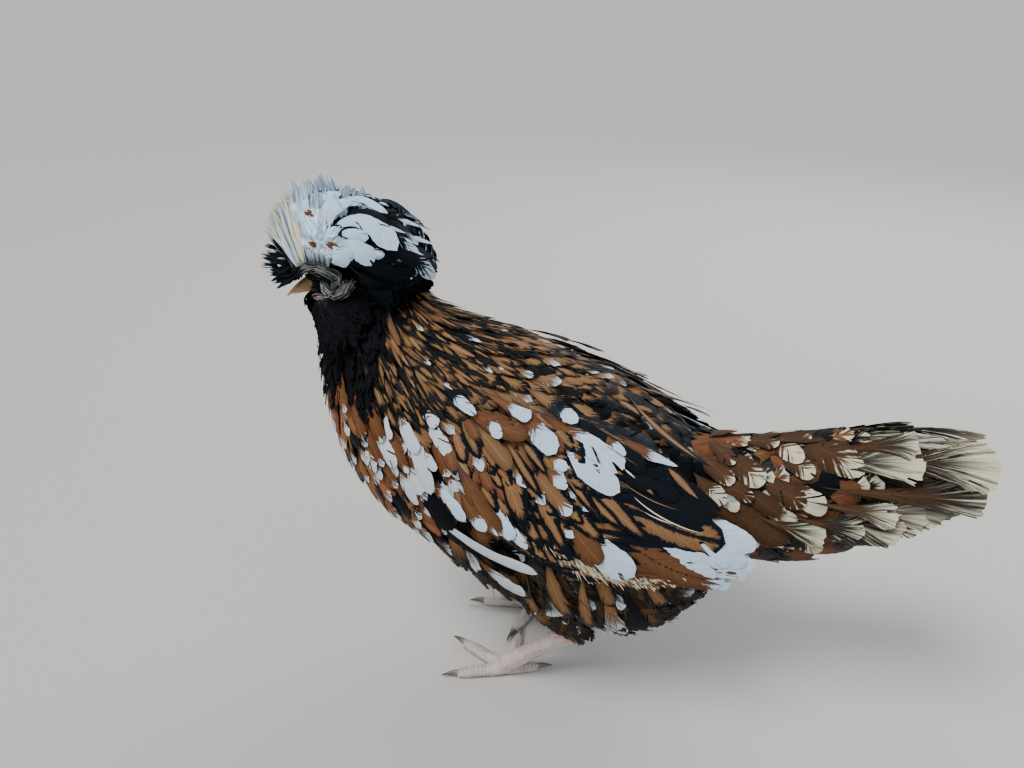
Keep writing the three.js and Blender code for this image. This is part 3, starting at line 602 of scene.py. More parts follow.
# Roots of a coat where keep(s, degrees round, random) allows them, with the degrees and their number.
def coatRoots(surface, first, last, plan, random, keep, jitter=0.35):
    s, a = roots(surface, first, last, plan["along"], plan["across"], random, jitter)
    kept = keep(s, np.abs(a) / degree)
    s, a = s[kept], a[kept]
    return s, a, np.abs(a) / degree, len(s)


# Hackle: narrow streaked, laced or black-ended feathers inside the bib's edge. Bib: short ragged black
# ones outside it, down to a station that falls from 1.85 at the side to 1.1 at the front.
def neckFeathers():
    random = np.random.default_rng(21)
    plan = neckCoat["hackle"]
    s, a, around, n = coatRoots(onBody, -0.1, 2.5, plan, random, lambda s, around: (
        around < bibEdge(s + 0.1) + random.uniform(-6, 6, len(s))) & ((s < 1.9) | (around < 80)))
    length = random.uniform(*plan["length"], n) * np.interp(s, [0, 1], [0.75, 1])
    half = random.uniform(*plan["half"], n) * np.interp(s, [0, 1.5, 2.5], [0.9, 1, 1.3])
    tipLift = random.uniform(0, 2.0, n)
    lay = laid(onBody, s, a, random.normal(0, 0.09, n), length, rising(tipLift, -7, -2))
    ground, marks = plain(n, "buff", random, 0.22)
    kind = random.random(n)
    markSome(marks, streak, kind < 0.35, 0.2, 0.5, random)
    markSome(marks, margin, (kind > 0.3) & (kind < 0.75), 0.4, 0.75, random)
    markSome(marks, blackEnd, random.random(n) < np.clip(0.42 + 0.1 * s, 0, 0.7), 0.62, 0.9, random)
    ground[random.random(n) < 0.08] = palette["black"]
    markSome(marks, whiteEnd, random.random(n) < 0.03, 0.78, 0.9, random)
    batches = [vanes(dress(lay, half, ground, marks, 0.9), "pointed", 9, 2, 31, camber=0.35, fray=0.1)]

    plan = neckCoat["bib"]
    s, a, around, n = coatRoots(onBody, -0.1, 1.85, plan, random, lambda s, around: (
        around > bibEdge(s) - 8) & (s < np.interp(around, [80, 110, 150, 180], [1.85, 1.5, 1.15, 1.1])))
    tipLift = random.uniform(0, 3.5, n)
    lay = laid(onBody, s, a, random.normal(0, 0.25, n), random.uniform(*plan["length"], n),
               rising(tipLift, -6, -1))
    ground, marks = plain(n, "black", random, 0.2)
    front = (around > 135) & (s > 0.8) & (random.random(n) < 0.3)
    markSome(marks, whiteEnd, front, 0.5, 0.8, random)
    full = dress(lay, random.uniform(*plan["half"], n), ground, marks)
    batches.append(vanes(full, "narrow", 7, 2, 32, camber=0.4, fray=0.25, loose=0.3, split=0.1))
    return batches


bodyCoat = {
    "back": {"along": 14, "across": 7.5, "length": (34, 42), "half": (5.4, 6.8)},
    "breast": {"along": 12, "across": 8.5, "length": (30, 37), "half": (5.6, 6.8)},
}
# Single feathers of the near side and the breast, which stand on both sides
bodyRows = [
    (3.9, 101, 5.26, 95, 4.2, "long", "white", 0),
    (4.56, 110, 5.24, 111, 6.1, "fluff", "mahogany", 0.4),
    (1.26, 109, 1.78, 107, 4.9, "round", "mahogany", 0.93),
    (1.6, 100, 2.24, 102, 4.9, "torn", "mahogany", 0.96),
    (1.82, 90, 2.42, 92, 5.5, "torn", "mahogany", 0.95),
    (2.18, 93, 2.82, 94, 5.8, "round", "mahogany", 0.35),
    (2.16, 85, 2.46, 87, 2.4, "torn", "white", 0.2),
    (2.3, 78, 2.88, 81, 4.7, "torn", "mahogany", 0.35),
    (2.32, 87, 3.0, 91, 4.8, "round", "mahogany", 0.95),
    (2.58, 77, 3.44, 91, 5.7, "torn", "mahogany", 0.32),
    (2.84, 88, 3.34, 95, 4.7, "torn", "mahogany", 0.5),
    (2.62, 68, 3.28, 72, 4.4, "round", "black", 0.35),
    (2.84, 78, 3.26, 81, 3.2, "torn", "mahogany", 0.5),
    (2.9, 72, 3.46, 79, 4.4, "torn", "mahogany", 0.93),
    (3.24, 75, 3.64, 76, 3.8, "round", "mahogany", 0.45),
    (3.3, 79, 3.82, 83, 4.4, "torn", "mahogany", 0.6),
    (3.46, 85, 4.04, 91, 5.4, "torn", "mahogany", 0.2),
    (3.48, 71, 3.76, 75, 2.4, "round", "white", 0.2),
    (2.06, 99, 2.72, 100, 4.3, "torn", "mahogany", 0.93),
    (2.52, 100, 3.06, 102, 3.7, "torn", "mahogany", 0.9),
    (2.82, 95, 3.4, 101, 4.3, "round", "mahogany", 0.5),
    (2.36, 67, 2.78, 66, 3.7, "torn", "black", 0.55),
    (3.26, 94, 3.96, 100, 8.1, "torn", "black"),
]


# Back: buff and tan feathers with black ends; the share of black grows from station 2.6 to 5.6. Breast:
# mahogany feathers with white or black ends, black below, from station 3.1 to 3.9 on. Then the single
# feathers of both sides.
def bodyFeathers():
    random = np.random.default_rng(22)
    plan = bodyCoat["back"]
    s, a, around, n = coatRoots(onBody, 2.0, 8.6, plan, random, lambda s, around: (
        around < 78 - 6 * np.clip(s - 3.4, 0, 5)), 0.25)
    length = random.uniform(*plan["length"], n)
    half = random.uniform(*plan["half"], n)
    tipLift = random.uniform(0, 2.0, n)
    lay = laid(onBody, s, a, random.normal(0, 0.08, n), length, rising(tipLift, -7, -2))
    ground, marks = plain(n, "tan", random, 0.14)
    buff = random.random(n) < 0.55
    ground[buff] = (palette["buff"] * (1 + 0.12 * random.uniform(-1, 1, (n, 1))))[buff]
    far = np.clip((s - 2.6) / 3.0, 0, 1)
    marks[:, blackEnd] = random.uniform(0.78, 0.97, n) - 0.18 * far
    laced = random.random(n) < 0.45 + 0.4 * far
    markSome(marks, margin, laced, 0.5, 0.85, random)
    marks[laced, margin] -= 0.15 * far[laced]
    marks[random.random(n) < 0.28 - 0.2 * far, blackEnd] = none
    markSome(marks, whiteEnd, random.random(n) < 0.12, 0.86, 0.94, random)
    ground[random.random(n) < 0.05 + 0.3 * far] = palette["black"]
    full = dress(lay, half, ground, marks, 1.4)
    broad = random.random(n) < 0.5
    batches = [vanes(chosen(full, broad), "round", 13, 3, 33, camber=0.16, fray=0.05, loose=0.03,
                     split=0.04),
               vanes(chosen(full, ~broad), "pointed", 13, 3, 38, camber=0.16, fray=0.06, loose=0.03,
                     split=0.06)]

    plan = bodyCoat["breast"]
    s, a, around, n = coatRoots(onBody, 0.75, 4.6, plan, random, lambda s, around: (
        around > np.interp(s, [0.75, 1.1, 1.8, 2.4, 3.6], [150, 120, 84, 72, 80])) & (around > 55), 0.25)
    tipLift = random.uniform(-0.3, 1.8, n)
    lay = laid(onBody, s, a, random.normal(0, 0.1, n), random.uniform(*plan["length"], n),
               rising(tipLift, -7, -2))
    ground, marks = plain(n, "mahogany", random, 0.25)
    ground = ground * 1.7
    markSome(marks, whiteEnd, random.random(n) < 0.45, 0.74, 0.9, random)
    markSome(marks, blackEnd, random.random(n) < 0.45, 0.66, 0.85, random)
    whole = random.random(n) < 0.12 + 0.75 * np.clip((s - 3.1) / 0.8, 0, 1)
    ground[whole] = palette["black"]
    marks[whole & (random.random(n) < 0.75), whiteEnd] = none
    full = dress(lay, random.uniform(*plan["half"], n), ground, marks, 1.1)
    batches.append(vanes(full, "round", 12, 3, 34, camber=0.16, fray=0.06, loose=0.04, split=0.05))

    def tips(s, a):
        return 4.4 - 0.35 * (s - 1) + 4 * np.clip(s - 4.3, 0, 1)

    return batches + placed(onBody, bodyRows, -1, tips, 39, 7) + placed(onBody, bodyRows, 1, tips, 39, 7)


fluffCoat = {"along": 9, "across": 7, "length": (32, 46), "half": (4.5, 7.5), "hairs": 440}
# Brown feathers that hang in the fluff
fluffRows = [
    (5.4, 94, 5.94, 119, 6.2, "fluff", "buff", none, none, 0.76),
    (5.98, 98, 6.28, 126, 4.6, "fluff", "buff", none, none, 0.74),
    (6.2, 91, 6.54, 106, 5.0, "fluff", "buff", none, none, 0.84),
    (6.4, 101, 6.8, 138, 5.4, "fluff", "buff", 0.64, none, 0.84),
    (7.1, 97, 7.5, 115, 4.6, "fluff", "buff", none, none, 0.76),
    (5.22, 113, 5.5, 126, 4.0, "fluff", "buff", none, none, 0.76),
    (6.74, 102, 7.12, 134, 6.0, "fluff", "black"),
    (7.3, 108, 7.7, 140, 5.4, "fluff", "black"),
]


# Fluff: loose smoky and brown feathers that turn up by 0.75 at the side and hang straight below. Then the
# hanging feathers of both sides, and fine hairs of down that stand 4 to 9 mm off.
def fluffFeathers():
    random = np.random.default_rng(23)
    s, a, around, n = coatRoots(onBody, 3.9, 9.3, fluffCoat, random, lambda s, around: (
        around > np.interp(s, [3.9, 5, 8, 9.3], [98, 84, 80, 55])))
    tipLift = random.uniform(-1, 4.0, n) + 3 * np.clip(s - 5, 0, 1) * np.clip((around - 95) / 20, 0, 1)
    heading = np.sign(a) * 0.75 * np.clip((170 - around) / 45, 0, 1) + random.normal(0, 0.25, n)
    lay = laid(onBody, s, a, heading, random.uniform(*fluffCoat["length"], n), rising(tipLift, -7, -2, 0.4))
    ground, marks = plain(n, "smoke", random, 0.35)
    brown = random.random(n) < 0.45
    ground[brown] = palette["buff"] * random.uniform(0.3, 0.85, (n, 1))[brown]
    marks[:, blackEnd] = np.where(brown & (random.random(n) < 0.6), random.uniform(0.6, 0.85, n), none)
    markSome(marks, margin, brown, 0.5, 0.9, random)
    markSome(marks, whiteEnd, random.random(n) < np.where(around < 115, 0.12, 0.02), 0.66, 0.86, random)
    full = dress(lay, random.uniform(*fluffCoat["half"], n), ground, marks, 1.8)
    batches = [vanes(full, "fluff", 16, 3, 35, camber=0.15, fray=0.1, loose=0.12, split=0.12)]
    for side in (-1, 1):
        batches += placed(onBody, fluffRows, side, lambda s, a: 5.5 + 0 * s, 37, 7, 1.4)
    n = fluffCoat["hairs"]
    s = random.uniform(4.6, 8.4, n)
    a = np.sign(random.uniform(-1, 1, n)) * random.uniform(100, 175, n) * degree
    heading = np.sign(a) * 0.7 + random.normal(0, 0.4, n)
    off = random.uniform(4, 9, n)
    lay = laid(onBody, s, a, heading, random.uniform(12, 22, n), rising(off, -3, 0, 0.45))
    ground, marks = plain(n, "smoke", random, 0.4)
    full = dress(lay, random.uniform(0.2, 0.45, n), ground * 1.4, marks)
    return batches + [vanes(full, "narrow", 4, 1, 38, fray=0.1)]


# Thighs: a tube from the hock up into the belly
thighRows = {side: np.array([(69, side * 42, 59, 8), (56, side * 44, 78, 15), (44, side * 45, 99, 22),
                             (34, side * 44, 122, 24)], float) for side in (-1, 1)}


# A round tube along rows of x, y, z and radius, with angle 0 towards the front. A place is the spine's
# plus the radius times cos(a) ahead and flat sin(a) across, both square to the spine.
def roundTube(rows, front=(-1, 0, 1), flat=1.0):
    front = np.array(front, float)

    def place(s, a, lift):
        s, a, lift = np.broadcast_arrays(np.asarray(s, float), a, lift)
        here = through(rows, s)
        way = unit(through(rows, s + 0.02)[..., :3] - through(rows, s - 0.02)[..., :3])
        across = unit(np.cross(way, front))
        ahead = np.cross(across, way)
        r = (here[..., 3] + lift)[..., None]
        return here[..., :3] + ahead * r * np.cos(a)[..., None] + across * flat * r * np.sin(a)[..., None]

    return place


# Loose feathers that point down the thigh's tube, a heading of pi; their faces are turned to look
# outwards.
def thighFeathers(side):
    random = np.random.default_rng(24 + side)
    surface = roundTube(thighRows[side])
    s, a = roots(surface, 0.1, 2.3, 5.5, 5.5, random)
    n = len(s)
    length = random.uniform(16, 26, n) * np.interp(s, [0, 1], [0.6, 1])
    half = random.uniform(3.5, 6, n) * np.interp(s, [0, 1], [0.7, 1])
    tipLift = random.uniform(-0.5, 2.5, n)
    lay = laid(surface, s, a, np.pi + random.normal(0, 0.25, n), length, rising(tipLift, -5, -1, 0.4))
    outward = lay["points"][:, 0] - through(thighRows[side], s)[:, :3]
    lay["faces"][np.einsum("ij,ij->i", lay["faces"][:, 0], outward) < 0] *= -1
    ground, marks = plain(n, "smoke", random, 0.35)
    brown = random.random(n) < 0.3
    ground[brown] = palette["buff"] * random.uniform(0.35, 0.8, (n, 1))[brown]
    markSome(marks, whiteEnd, random.random(n) < 0.1, 0.6, 0.85, random)
    full = dress(lay, half, ground, marks, 1.5)
    return [vanes(full, "fluff", 10, 3, 36 + side, camber=0.2, fray=0.12, loose=0.15, split=0.12)]


# Wing: tiers of feathers on the wing's tube, by station and angle of the lowest and the highest feather
wingTiers = [
    {"count": 15, "roots": ((2.7, 87), (2.2, 34)), "tips": ((6.95, 84), (5.0, 28)), "half": 8.6,
     "lift": (0.5, 2.2)},
    {"count": 14, "roots": ((2.4, 86), (2.0, 36)), "tips": ((4.8, 86), (4.5, 31)), "half": 7.4,
     "lift": (1.5, 3.8)},
    {"count": 14, "roots": ((1.9, 84), (1.6, 40)), "tips": ((3.8, 86), (3.6, 36)), "half": 6.6,
     "lift": (1.5, 4.8)},
]
wingCoverts = {"along": 10, "across": 7, "length": (25, 31), "half": (4.4, 5.6)}
# Single feathers of the wing, as on her left wing
wingRows = [
    (1.1, 52, 2.1, 48, 6.8, "round", "mahogany"),
    (1.24, 49, 1.7, 54, 3.7, "round", "mahogany", 0.55),
    (1.72, 40, 2.68, 49, 6.4, "torn", "mahogany", 0.6),
    (1.1, 42, 1.96, 42, 4.4, "fan", "mahogany", 0.62),
    (1.82, 31, 2.8, 35, 4.8, "torn", "buff", 0.7, 0.5),
    (2.4, 38, 4.18, 43, 7.4, "torn", "mahogany", 0.46),
    (2.3, 45, 4.22, 52, 7.4, "torn", "mahogany", 0.48),
    (3.38, 34, 4.12, 38, 3.2, "round", "mahogany", 0.6),
    (3.7, 31, 5.5, 35, 3.8, "pointed", "mahogany", 0.68),
    (5.32, 36, 6.0, 50, 2.7, "pointed", "buff", none, none, 0.8),
    (3.96, 44, 6.24, 60, 9.3, "long", "black"),
    (3.7, 41, 5.6, 50, 5.0, "long", "black"),
    (4.64, 45, 5.0, 49, 1.3, "narrow", "buff"),
    (2.92, 34, 4.72, 40, 6.0, "long", "black"),
    (4.28, 11, 6.2, 32, 3.4, "pointed", "buff", none, 0.85, 0.5),
    (3.64, 15, 4.28, 19, 3.0, "pointed", "buff", none, 0.85, 0.6),
    (5.32, 36, 6.38, 57, 5.2, "long", "black"),
    (1.42, 56, 2.14, 61, 5.4, "fluff", "buff"),
    (1.98, 55, 2.84, 65, 3.6, "pointed", "buff", none, 0.82, 0.5),
    (2.14, 51, 2.74, 57, 3.3, "pointed", "buff", none, 0.85, 0.5),
    (2.12, 64, 2.88, 78, 6.7, "pointed", "buff", none, 0.76, 0.62),
    (2.58, 73, 3.18, 81, 5.2, "pointed", "buff", none, 0.8, 0.6),
    (2.66, 63, 3.68, 82, 5.4, "pointed", "buff", none, 0.8, 0.52),
    (2.4, 57, 3.4, 66, 6.1, "round", "buff", 0.86, none, 0.8),
    (2.62, 51, 3.0, 52, 3.4, "round", "buff", 0.5),
    (2.62, 55, 3.14, 58, 3.9, "round", "mahogany", 0.6),
    (2.9, 52, 3.88, 63, 3.5, "pointed", "buff", none, 0.82, 0.5),
    (3.18, 54, 4.04, 65, 3.5, "pointed", "buff", none, 0.82, 0.5),
    (3.22, 63, 4.18, 72, 5.9, "pointed", "buff", none, 0.84, 0.6),
    (3.4, 56, 4.5, 65, 4.2, "pointed", "buff", none, 0.84, 0.5),
    (3.62, 53, 5.04, 68, 6.1, "pointed", "buff", none, 0.88, 0.62),
    (4.04, 51, 6.46, 71, 11.3, "long", "buff", none, 0.97, 0.76, 0.13),
    (1.64, 75, 2.5, 85, 4.7, "pointed", "mahogany", 0.9),
    (2.2, 77, 2.68, 84, 3.4, "round", "mahogany", 0.15),
    (1.5, 84, 2.0, 87, 4.0, "round", "mahogany", 0.2),
    (1.8, 81, 2.3, 86, 5.3, "round", "mahogany", 0.72),
    (2.52, 80, 2.96, 84, 3.4, "round", "mahogany", 0.1),
    (3.26, 67, 4.2, 80, 8.0, "round", "mahogany"),
    (3.3, 68, 4.86, 84, 9.8, "torn", "mahogany", 0.56),
    (4.26, 65, 6.44, 95, 9.9, "long", "mahogany", 0.95, none, none, 0.03),
    (4.9, 66, 6.56, 82, 7.8, "long", "white", 0.1),
    (5.66, 64, 6.78, 85, 9.3, "round", "white", 0),
    (6.04, 61, 6.96, 75, 8.0, "round", "white", 0),
    (6.26, 73, 6.44, 101, 5.5, "fluff", "white", 0),
    (6.48, 76, 6.74, 96, 4.2, "round", "white", 0.4),
    (1.8, 81, 2.32, 86, 4.6, "round", "mahogany", 0.72),
    (1.64, 74, 2.54, 84, 5.6, "round", "mahogany", 0.97),
    (2.22, 76, 2.72, 83, 4.1, "round", "mahogany", 0.25),
    (0.4, 52, 1.1, 52, 3.5, "round", "black", 0.45),
    (5.1, 69, 6.3, 91, 6.0, "torn", "white", 0.1),
]
# Pale shafts that show on the broad feathers of the wing
wingShafts = [
    (4.6, 52, 6.08, 66, 0.42, "narrow", "cream"),
    (4.2, 43, 4.5, 45, 0.6, "narrow", "cream"),
    (4.9, 57, 5.5, 61, 0.28, "narrow", "cream"),
    (4.3, 48, 5.6, 55, 0.3, "narrow", "tan"),
    (3.3, 37, 4.5, 40, 0.3, "narrow", "tan"),
]


# A tier lies evenly between its lowest and highest feather, from root to tip on a straight line of
# stations and angles. The first tier is long, mahogany with white ends below and buff with black ends
# above; the others are buff.
def tierFeathers(tier, side, level, random):
    n = tier["count"]
    t = np.linspace(0, 1, n)
    jolt = random.uniform(-1, 1, (4, n))
    (s0, a0), (s1, a1) = ([np.interp(t, [0, 1], ends) for ends in zip(*tier[key])]
                          for key in ("roots", "tips"))
    first, last = tier["lift"]
    lifts = [np.full(n, lift) for lift in (first, 0.5 * (first + last), last)]
    lay = onLine(onWing, s0, a0, s1 + 0.12 * jolt[0], a1 + 0.8 * jolt[1], side, lifts)
    lay["roll"] = np.full(n, 10 * degree * side)
    if level == 0:
        ground, marks = plain(n, "mahogany", random, 0.15)
        marks[:, whiteEnd] = 0.8 + 0.06 * jolt[3]
        upper = t > 0.2
        ground[upper] = palette["buff"]
        markSome(marks, blackEnd, upper, 0.2, 0.7, random)
        marks[upper, margin] = 0.5
        marks[upper, whiteEnd] = none
    else:
        ground, marks = plain(n, "buff", random, 0.15)
        marks[:, margin] = random.uniform(0.42, 0.62, n)
        marks[:, blackEnd] = random.uniform(0.78, 0.88, n)
    shape, rows = ("long", 26) if level == 0 else ("pointed", 16)
    full = dress(lay, np.full(n, tier["half"]) * (1 + 0.08 * jolt[2]), ground, marks)
    return vanes(full, shape, rows, 3, 50 + level, camber=0.12, fray=0.05, split=0.04)


# Two long pale feathers along the top edge of the folded right wing, by root, middle, tip and half width
def farEdge(random):
    points = np.array([((80, 36, 212), (124, 36, 199), (158, 36, 184)),
                       ((92, 30, 213), (132, 31, 199), (160, 31, 187))], float)
    ground, marks = plain(2, "grey", random, 0.1)
    marks[:, whiteEnd] = 0.4
    lay = {"points": points, "faces": np.tile(unit(np.array([0.3, 0.5, 0.8])), (2, 3, 1)),
           "root": points[:, 0, :2] / 100}
    return vanes(dress(lay, np.array([4.5, 3.0]), ground, marks, 2.0), "long", 26, 4, 66, split=0.1)


# The wing's tiers, the small coverts over the arm, the single feathers with their shafts, and fine hairs
# as the worn fringe of the lower edge. The coverts turn down by 0.5 at station 1 and by 0.25 at station
# 3.
def wingFeathers(side):
    random = np.random.default_rng(40 + side)
    batches = [tierFeathers(tier, side, level, random) for level, tier in enumerate(wingTiers)]
    plan = wingCoverts
    s, a = roots(onWing, 0.9, 3.1, plan["along"], plan["across"], random)
    around = a / degree * -side
    keep = (around < np.interp(s, [1.0, 1.6], [66, 82])) & (around > np.interp(s, [1.0, 1.6], [50, 38]))
    s, a = s[keep], a[keep]
    n = len(s)
    tipLift = np.interp(s, [1, 2], [3, 6]) + random.uniform(-0.5, 0.5, n)
    heading = (np.interp(s, [1, 2, 3], [0.5, 0.42, 0.25]) + random.normal(0, 0.08, n)) * -side
    lay = laid(onWing, s, a, heading, random.uniform(*plan["length"], n),
               (tipLift - 6, tipLift - 1.5, tipLift))
    ground, marks = plain(n, "buff", random, 0.15)
    red = (random.random(n) < 0.3) & (s < 2.2)
    ground[red] = palette["mahogany"] * 1.2
    marks[:, margin] = np.where(red, none, random.uniform(0.45, 0.65, n))
    marks[:, blackEnd] = random.uniform(0.74, 0.9, n)
    markSome(marks, whiteEnd, random.random(n) < 0.15, 0.7, 0.85, random)
    full = dress(lay, random.uniform(*plan["half"], n), ground, marks)
    batches.append(vanes(full, "pointed", 12, 3, 57, camber=0.18, fray=0.05, split=0.04))

    def tips(s, a):
        return 10.2 - 0.8 * s - 0.012 * (a - 50)

    rows = [row for row in wingRows if side < 0 or row[5:7] != ("long", "black")]
    batches += placed(onWing, rows, side, tips, 58, rag=0.65)
    if side < 0:
        batches += placed(onWing, wingShafts, side, lambda s, a: tips(s, a) + 0.8, 65, 4, 0.5)
    n = 520
    s = 2.6 + 3.4 * random.beta(1.5, 1.9, n)
    a = np.interp(s, [2.5, 3.4, 6.2], [79, 82, 93]) + random.uniform(-3, 1.5, n)
    heading = random.normal(0.72, 0.16, n) * -side
    lift = random.uniform(2.5, 5, n)
    length = random.uniform(6, 12, n) * np.interp(s, [4, 5], [1, 0.5])
    lay = laid(onWing, s, a * degree * -side, heading, length,
               (lift, lift, lift + random.uniform(-1, 1, n)))
    ground, marks = plain(n, "cream", random, 0.2)
    ground[random.random(n) < 0.35] = palette["buff"]
    full = dress(lay, random.uniform(0.2, 0.42, n), ground * 0.9, marks)
    batches.append(vanes(full, "narrow", 5, 1, 59, fray=0.2))
    if side > 0:
        batches.append(farEdge(random))
    return batches


# Tail: pairs of stiff feathers folded like a tent, and coverts round their roots
tailPlan = {
    "pairs": 7, "half": 13, "topTilt": 36, "lowTilt": 58, "along": 13, "across": 11,
    # x of the tips, half, black, white
    "ridge": [(306, 13, 0.55, 0.84), (285, 12, 0.5, 0.9), (262, 11, 0.6, 0.97)],
}
# Single coverts of the tail, which lie on both sides
tailRows = [
    (2.6, 0, 3.72, 58, 10.5, "round", "brown", 0.86),
    (0.78, 10, 1.28, 34, 5.7, "round", "brown", 0.95),
    (0.58, 28, 1.24, 51, 6.4, "round", "brown", 0.92),
    (1.14, 23, 1.82, 53, 8.2, "round", "brown", 0.8),
    (1.5, -4, 2.24, 15, 5.6, "round", "brown", 0.95),
    (2.12, 4, 2.68, 37, 6.6, "round", "brown", 0.62),
    (2.32, 26, 2.84, 52, 6.3, "round", "brown", 0.74),
    (0.92, 47, 1.6, 65, 5.8, "round", "brown", 0.95),
    (0.48, 46, 1.06, 67, 6.1, "round", "brown", 0.62),
    (0.96, 57, 1.28, 74, 4.3, "round", "grey", 0.72),
    (1.5, 58, 2.16, 82, 6.6, "round", "brown", 0.95),
    (1.9, 50, 2.58, 74, 7.8, "round", "brown", 0.95),
    (2.42, 57, 2.9, 84, 7.4, "round", "brown", 0.47),
    (1.88, 73, 2.3, 90, 5.1, "round", "brown", 0.57),
    (0.9, 66, 2.08, 105, 9.5, "long", "brown"),
    (2.1, 85, 2.64, 123, 7.9, "round", "brown", 0.84, 0.5),
]

# Long coverts and ends over the tail: root, middle and tip in millimetres on her left, half width, ground
# colour, and where the black and the white end begin
tailEnds = [
    ((196, -17, 202), (229, -19, 212), (266, -21, 219), 13, "brown", 0.45, 0.76),
    ((196, -10, 205), (240, -13, 221), (262, -14, 225), 9, "brown", 0.6, 0.86),
    ((215, -20, 202), (262, -21, 217), (307, -18, 219), 15, "brown", 0.5, 0.8),
    ((210, -28, 196), (258, -29, 199), (300, -27, 206), 12, "brown", 0.66, 0.93),
    ((200, -33, 188), (232, -36, 188), (255, -37, 188), 8, "brown", 0.58, 0.78),
    ((192, -35, 177), (218, -38, 176), (238, -39, 178), 6.5, "brown", 0.5, 0.84),
    ((172, -34, 174), (195, -38, 170), (217, -40, 170), 8, "brown", 0.5, 0.78),
]


# Tail feathers from the topmost pair, t = 0, to the lowest, t = 1: their tips draw in with t^1.6 and sink
# by 35 mm, and their faces tilt outwards. Over them lie three pairs along the ridge, the long coverts,
# small coverts all round the roots, and single coverts.
def tailFeathers():
    random = np.random.default_rng(60)
    t = np.repeat(np.linspace(0, 1, tailPlan["pairs"]), 2)
    side = np.tile([-1.0, 1.0], tailPlan["pairs"])
    n = len(t)
    tilt = (tailPlan["topTilt"] + (tailPlan["lowTilt"] - tailPlan["topTilt"]) * t) * degree
    tip = vec(309 - 49 * t ** 1.6, side * (11 + 26 * t), 215 - 35 * t)
    root = vec(160, side * (7 + 8 * t), 180 - 22 * t)
    lay = bent(root, tip, vec(0, side * (1 + 3 * t), 23 - 16 * t),
               vec(0, side * np.sin(tilt), np.cos(tilt)))
    ground, marks = plain(n, "brown", random, 0.15)
    marks[:, blackEnd] = random.uniform(0.6, 0.72, n)
    marks[:, whiteEnd] = random.uniform(0.85, 0.9, n) + 0.07 * (t > 0.4)
    ground[t > 0.4] = ground[t > 0.4] * 0.8 + palette["grey"] * 0.22
    full = dress(lay, np.full(n, float(tailPlan["half"])), ground, marks, 1.9)
    batches = [vanes(full, "quill", 40, 6, 61, camber=0.1, fray=0.05, split=0.1, loose=0.02)]
    for end, half, black, white in tailPlan["ridge"]:
        root = vec(np.full(2, end - 120.0), 0, 196)
        tip = vec(end, np.array([-3.0, 3.0]), 220 + 0.02 * (306 - end))
        lay = bent(root, tip, vec(0, 0, 11), vec(0, np.array([-0.25, 0.25]), 1))
        ground, marks = plain(2, "brown", random, 0.15)
        marks[:, blackEnd], marks[:, whiteEnd] = black, white
        full = dress(lay, np.full(2, float(half)), ground, marks, 1.8)
        batches.append(vanes(full, "quill", 36, 6, 67, camber=0.15, fray=0.05, split=0.06, loose=0.02))
    for side in (-1, 1):
        m = len(tailEnds)
        places = np.array([row[:3] for row in tailEnds], float) * np.array([1, -side, 1])
        half, black, white = np.array([(row[3], *row[5:]) for row in tailEnds], float).T
        out = unit(vec(0, side * 0.8, np.interp(places[:, 2, 2], [164, 225], [0.35, 1.0])))
        lay = {"points": places, "faces": np.repeat(out[:, None], 3, 1), "root": places[:, 0, ::2]}
        ground = np.array([palette[row[4]] for row in tailEnds]) * (1 + 0.1 * random.uniform(-1, 1, (m, 1)))
        full = dress(lay, half, ground, vec(black, none, white, -none), 1.8)
        batches.append(vanes(full, "trail", 30, 6, 63, camber=0.12, fray=0.06, split=0.08, loose=0.04))
    s, a, around, n = coatRoots(onTail, 0.0, 3.0, tailPlan, random, lambda s, around: around < 150, 0.3)
    tipLift = random.uniform(-0.5, 1.5, n)
    lay = laid(onTail, s, a, random.normal(0, 0.1, n), random.uniform(34, 44, n),
               rising(tipLift, -6, -1.5, 0.4))
    ground, marks = plain(n, "mahogany", random, 0.2)
    markSome(marks, whiteEnd, random.random(n) < 0.5, 0.86, 0.95, random)
    marks[:, blackEnd] = np.where(random.random(n) < 0.5, random.uniform(0.75, 0.9, n), none)
    marks[:, margin] = np.where(random.random(n) < 0.4, random.uniform(0.7, 0.9, n), none)
    ground[random.random(n) < 0.3] = palette["black"]
    full = dress(lay, random.uniform(8, 10, n), ground, marks, 1.3)
    batches.append(vanes(full, "round", 14, 4, 62, camber=0.15, fray=0.08, split=0.05))
    for side in (-1, 1):
        batches += placed(onTail, tailRows, side, lambda s, a: 5.6 - 0.8 * s, 64, rag=1.35)
    return batches


# Crest: feathers round a middle that leans forward. The outline bulges to the back.
crestPlan = {
    "centre": (-107, 0, 313), "long": 63, "wide": 46, "high": 31, "lean": 34, "lowest": -0.62,
    "rings": [(7, 14), (14, 32), (20, 50), (24, 68), (27, 86), (28, 103), (27, 120), (25, 136), (20, 151)],
    # outlines of the fan and of the star before the brow: share of the way round, x and z of the tips
    "fan": [(0, -160, 321), (0.1, -161, 331), (0.2, -155, 335), (0.3, -148, 343), (0.4, -140, 350),
            (0.5, -133, 356), (0.6, -127, 360), (0.7, -119, 359), (0.8, -110, 358), (0.9, -97, 359),
            (1, -84, 358)],
    "star": [(0, -163, 313), (0.25, -167, 306), (0.5, -168, 298), (0.7, -164, 291), (0.85, -158, 286),
             (1, -150, 286)],
}
